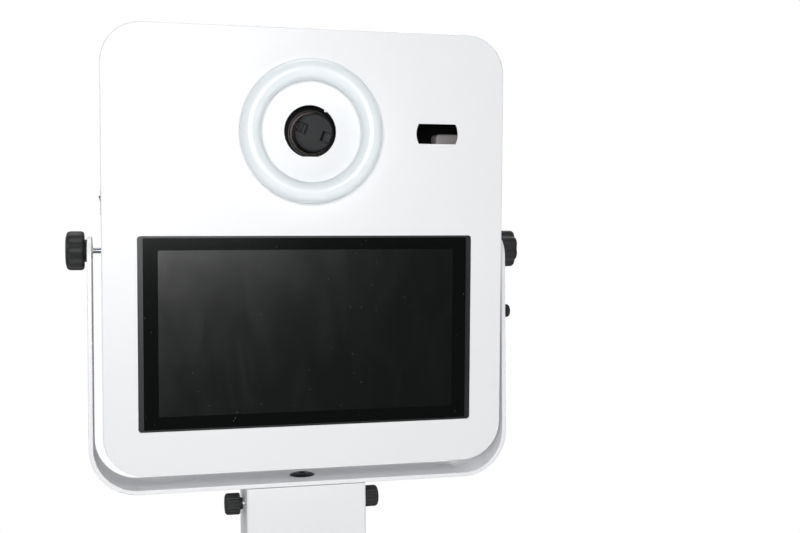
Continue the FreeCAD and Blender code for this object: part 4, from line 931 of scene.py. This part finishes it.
class BOOTH_OT_lens_cap(bpy.types.Operator):
    """Model the pinch lens cap and its two tabs"""

    bl_idname = "booth.lens_cap"
    bl_label = "Lens Cap"

    def execute(self, context):
        low, high = box_in(LENS, "lens_cap")
        radius, front = high.x, high.z
        back, spigot, lip, sunk, rings = front - 5 * MM, 22.9 * MM, 0.9 * MM, 0.35 * MM, 40
        inner = radius - 0.5 * MM - context.scene.booth_sizes.cap_rim
        face = inner - 1.2 * MM
        bm = bmesh.new()
        outline = [(0, low.z), (spigot, low.z), (spigot, back), *near(radius, back, (0.5, 0), (0, 0.5)),
                   *near(radius, front - lip, (0, -0.5), (0.5, 0)), *near(inner, front, (0, 0), (0.8, 0))]
        outline += [(face * (1 - i / rings), front - sunk) for i in range(rings + 1)]
        lathe(bm, outline, 256)
        line = self.tab_line()
        for vertex in bm.verts:
            if vertex.co.z > back + 1 * MM:
                vertex.co.z -= self.pocket(line, vertex.co)
        hang("pinch_cap", bm, LENS, "lens_cap", "cap", ["lens_cap"], 55)

        turned = LENS @ Matrix.Rotation(math.atan2(line.y, line.x), 4, "Z")
        for side in ("left", "right"):
            node = f"cap_tab_{side}"
            low, high = box_in(turned, node)
            middle, half = (low + high) / 2, (high - low) / 2
            inward, slope, scoop = min(abs(low.x), abs(high.x)), 1.3 * MM, 0.5 * MM
            bm = bmesh.new()
            slab(bm, low, high)
            for vertex in bm.verts:
                if vertex.co.z > middle.z and abs(vertex.co.x) < inward + 1e-5:
                    vertex.co.z -= slope
            bmesh.ops.subdivide_edges(bm, edges=bm.edges[:], cuts=5, use_grid_fill=True)
            for vertex in bm.verts:
                if vertex.co.z > low.z + 0.8 * MM:
                    vertex.co.z -= scoop * max(0, 1 - ((vertex.co.y - middle.y) / half.y) ** 2)
            soften(bm, 0.25 * MM, 1, 60)
            hang(f"{node}_scooped", bm, turned, node, "cap", [node], 50)
        return {"FINISHED"}

    def tab_line(self):
        """Direction of the line that the two tabs slide on, seen in the lens's frame."""
        travel = LENS.to_3x3().inverted() @ Vector(JOINTS["cap_tab_right_pinch"]["axis"])
        return Vector((travel.x, travel.y, 0)).normalized()

    def pocket(self, line, spot):
        """Depth of the finger hollows at a spot of the cap's face."""
        lengthwise = abs(spot.x * line.x + spot.y * line.y)
        crosswise = abs(spot.y * line.x - spot.x * line.y)
        start, ramp, end, half, deep = 10.5 * MM, 3.5 * MM, 24.2 * MM, 6.9 * MM, 2.6 * MM
        if not start < lengthwise < end or crosswise > half:
            return 0
        return deep * min(1, (lengthwise - start) / ramp)


# ---------------------------------------------------------------- switch and inlet


class BOOTH_OT_switch(bpy.types.Operator):
    """Finish the rocker switch and the mains inlet"""

    bl_idname = "booth.switch"
    bl_label = "Switch and Inlet"

    def execute(self, context):
        coat("dark plastic", "rocker_frame", "mains_inlet")
        self.rocker()
        self.pins()
        return {"FINISHED"}

    def rocker(self):
        """Rocker with its lower end pressed in and a dished face."""
        low, high = box_in(HEAD, "rocker")
        face, half, middle = low.x, (high.z - low.z) / 2, (high.z + low.z) / 2
        thick, pressed, lean, dish = 6 * MM, 1.6 * MM, 0.5 * MM, 1.1 * MM
        bm = bmesh.new()
        slab(bm, (face, low.y + 1 * MM, low.z), (face + thick, high.y - 1 * MM, high.z))
        for vertex in bm.verts:
            rise = (vertex.co.z - middle) / half
            if vertex.co.x < face + 1 * MM:
                vertex.co.x += pressed * (1 - rise)
            else:
                vertex.co.z -= lean * rise
        upright = [edge for edge in bm.edges if abs(edge.verts[0].co.z - edge.verts[1].co.z) > half]
        bmesh.ops.subdivide_edges(bm, edges=upright, cuts=15, use_grid_fill=True)
        for vertex in bm.verts:
            if vertex.co.x < face + 4 * MM:
                vertex.co.x += dish * (1 - ((vertex.co.z - middle) / half) ** 2)
        soften(bm, 0.4 * MM, 2, 50)
        hang("rocker_dished", bm, HEAD, "rocker", "dark plastic", ["rocker"])

    def pins(self):
        """Bright sleeves over the inlet's three pins."""
        low, high = box_in(HEAD, "mains_inlet")
        root = Vector((high.x - 17.4 * MM, (low.y + high.y) / 2, (low.z + high.z) / 2))
        longer, half_wide, half_thick, aside, apart = 13.2 * MM, 2.05 * MM, 1.05 * MM, 2.5 * MM, 7 * MM
        bm = bmesh.new()
        for shift, up in ((0, 0), (-aside, apart), (-aside, -apart)):
            slab(bm, root + Vector((0, shift - half_wide, up - half_thick)),
                 root + Vector((longer, shift + half_wide, up + half_thick)))
        soften(bm, 0.5 * MM, 2)
        hang("inlet_pin_sleeves", bm, HEAD, "head", "zinc")


# ---------------------------------------------------------------- studio


class BOOTH_OT_studio(bpy.types.Operator):
    """Lay the pale floor, hang the soft lights and place the camera"""

    bl_idname = "booth.studio"
    bl_label = "Studio"

    def execute(self, context):
        scene = context.scene
        bm = bmesh.new()
        bmesh.ops.create_circle(bm, cap_ends=True, segments=96, radius=scene.booth_sizes.floor_radius)
        mesh = bpy.data.meshes.new("studio_floor")
        bm.to_mesh(mesh)
        bm.free()
        mesh.materials.append(studio_paper(scene.booth_colours.floor))
        floor = bpy.data.objects.new("studio_floor", mesh)
        scene.collection.objects.link(floor)

        self.sky(scene)
        self.softbox("key", (-0.3, -2.0, 1.75), 1.0, 0.7, 25.5)
        self.softbox("fill", (-0.5, -1.9, 1.4), 0.3, 0.2, 5)
        self.softbox("right_strip", (1.5, -1.0, 1.1), 0.2, 1.2, 3)
        self.softbox("top", (0, 0.9, 3.7), 2.2, 2.2, 42)
        self.softbox("back", (1.0, 2.3, 2.9), 1.2, 1.2, 30)
        self.softbox("far_side", (-2.6, 1.0, 2.2), 1.0, 1.4, 16)

        lens = bpy.data.cameras.new("studio_camera")
        lens.lens, lens.sensor_width = 50, 36
        camera = bpy.data.objects.new("studio_camera", lens)
        camera.location = (-0.2531, -1.6004, 1.4303)
        camera.rotation_euler = Euler([math.radians(angle) for angle in (89.399, 0.387, -14.116)])
        scene.collection.objects.link(camera)
        scene.camera = camera
        scene.view_settings.view_transform = "Standard"
        return {"FINISHED"}

    def softbox(self, name, place, width, tall, watts):
        """A soft lamp of that width and height in metres, aimed at the head's front."""
        aim = (0, -0.09, 1.5)
        lamp = bpy.data.lights.new(name, "AREA")
        lamp.shape, lamp.size, lamp.size_y, lamp.energy = "RECTANGLE", width, tall, watts
        light = bpy.data.objects.new(name, lamp)
        light.location = place
        light.rotation_euler = (Vector(aim) - Vector(place)).to_track_quat("-Z", "Y").to_euler()
        bpy.context.scene.collection.objects.link(light)

    def sky(self, scene):
        """A white backdrop for the eye, while the room that lights the booth is dimmer, most in front."""
        world = bpy.data.worlds.new("studio")
        world.use_nodes = True
        tree = world.node_tree
        way = add(tree, "TexCoord").outputs["Generated"]
        parts = add(tree, "SeparateXYZ", links={"Vector": way})
        room = add(tree, "MapRange", {"From Min": -0.95, "From Max": 0.2, "To Min": 0.03, "To Max": 0.3},
                   {"Value": parts.outputs["Y"]}, interpolation_type="SMOOTHSTEP")
        seen = add(tree, "LightPath").outputs["Is Camera Ray"]
        level = add(tree, "MapRange", {"To Max": 1.0}, {"Value": seen, "To Min": room.outputs["Result"]})
        background = tree.nodes["Background"]
        background.inputs["Color"].default_value = (1, 1, 1, 1)
        tree.links.new(level.outputs["Result"], background.inputs["Strength"])
        scene.world = world


# ---------------------------------------------------------------- panel and main

STEPS = (
    BOOTH_OT_stand, BOOTH_OT_mast, BOOTH_OT_yoke, BOOTH_OT_pivot_knobs, BOOTH_OT_small_knobs,
    BOOTH_OT_case, BOOTH_OT_rear_door, BOOTH_OT_ring_light, BOOTH_OT_monitor, BOOTH_OT_equipment,
    BOOTH_OT_camera, BOOTH_OT_lens, BOOTH_OT_lens_cap, BOOTH_OT_switch, BOOTH_OT_studio,
)


class BOOTH_PT_panel(bpy.types.Panel):
    """Sizes, colours and steps of the photo booth"""

    bl_idname = "BOOTH_PT_panel"
    bl_label = "Photo Booth"
    bl_space_type = "VIEW_3D"
    bl_region_type = "UI"
    bl_category = "Photo Booth"

    def draw(self, context):
        for group in (context.scene.booth_sizes, context.scene.booth_colours):
            box = self.layout.box()
            for name in group.bl_rna.properties.keys():
                if name not in ("rna_type", "name"):
                    box.prop(group, name)
        for step in STEPS:
            self.layout.operator(step.bl_idname)


CLASSES = (BoothSizes, BoothColours, *STEPS, BOOTH_PT_panel)


def register():
    for item in CLASSES:
        bpy.utils.register_class(item)
    bpy.types.Scene.booth_sizes = bpy.props.PointerProperty(type=BoothSizes)
    bpy.types.Scene.booth_colours = bpy.props.PointerProperty(type=BoothColours)


def unregister():
    del bpy.types.Scene.booth_colours
    del bpy.types.Scene.booth_sizes
    for item in reversed(CLASSES):
        bpy.utils.unregister_class(item)


def main():
    register()
    for step in STEPS:
        family, name = step.bl_idname.split(".")
        getattr(getattr(bpy.ops, family), name)()


if __name__ == "__main__":
    main()
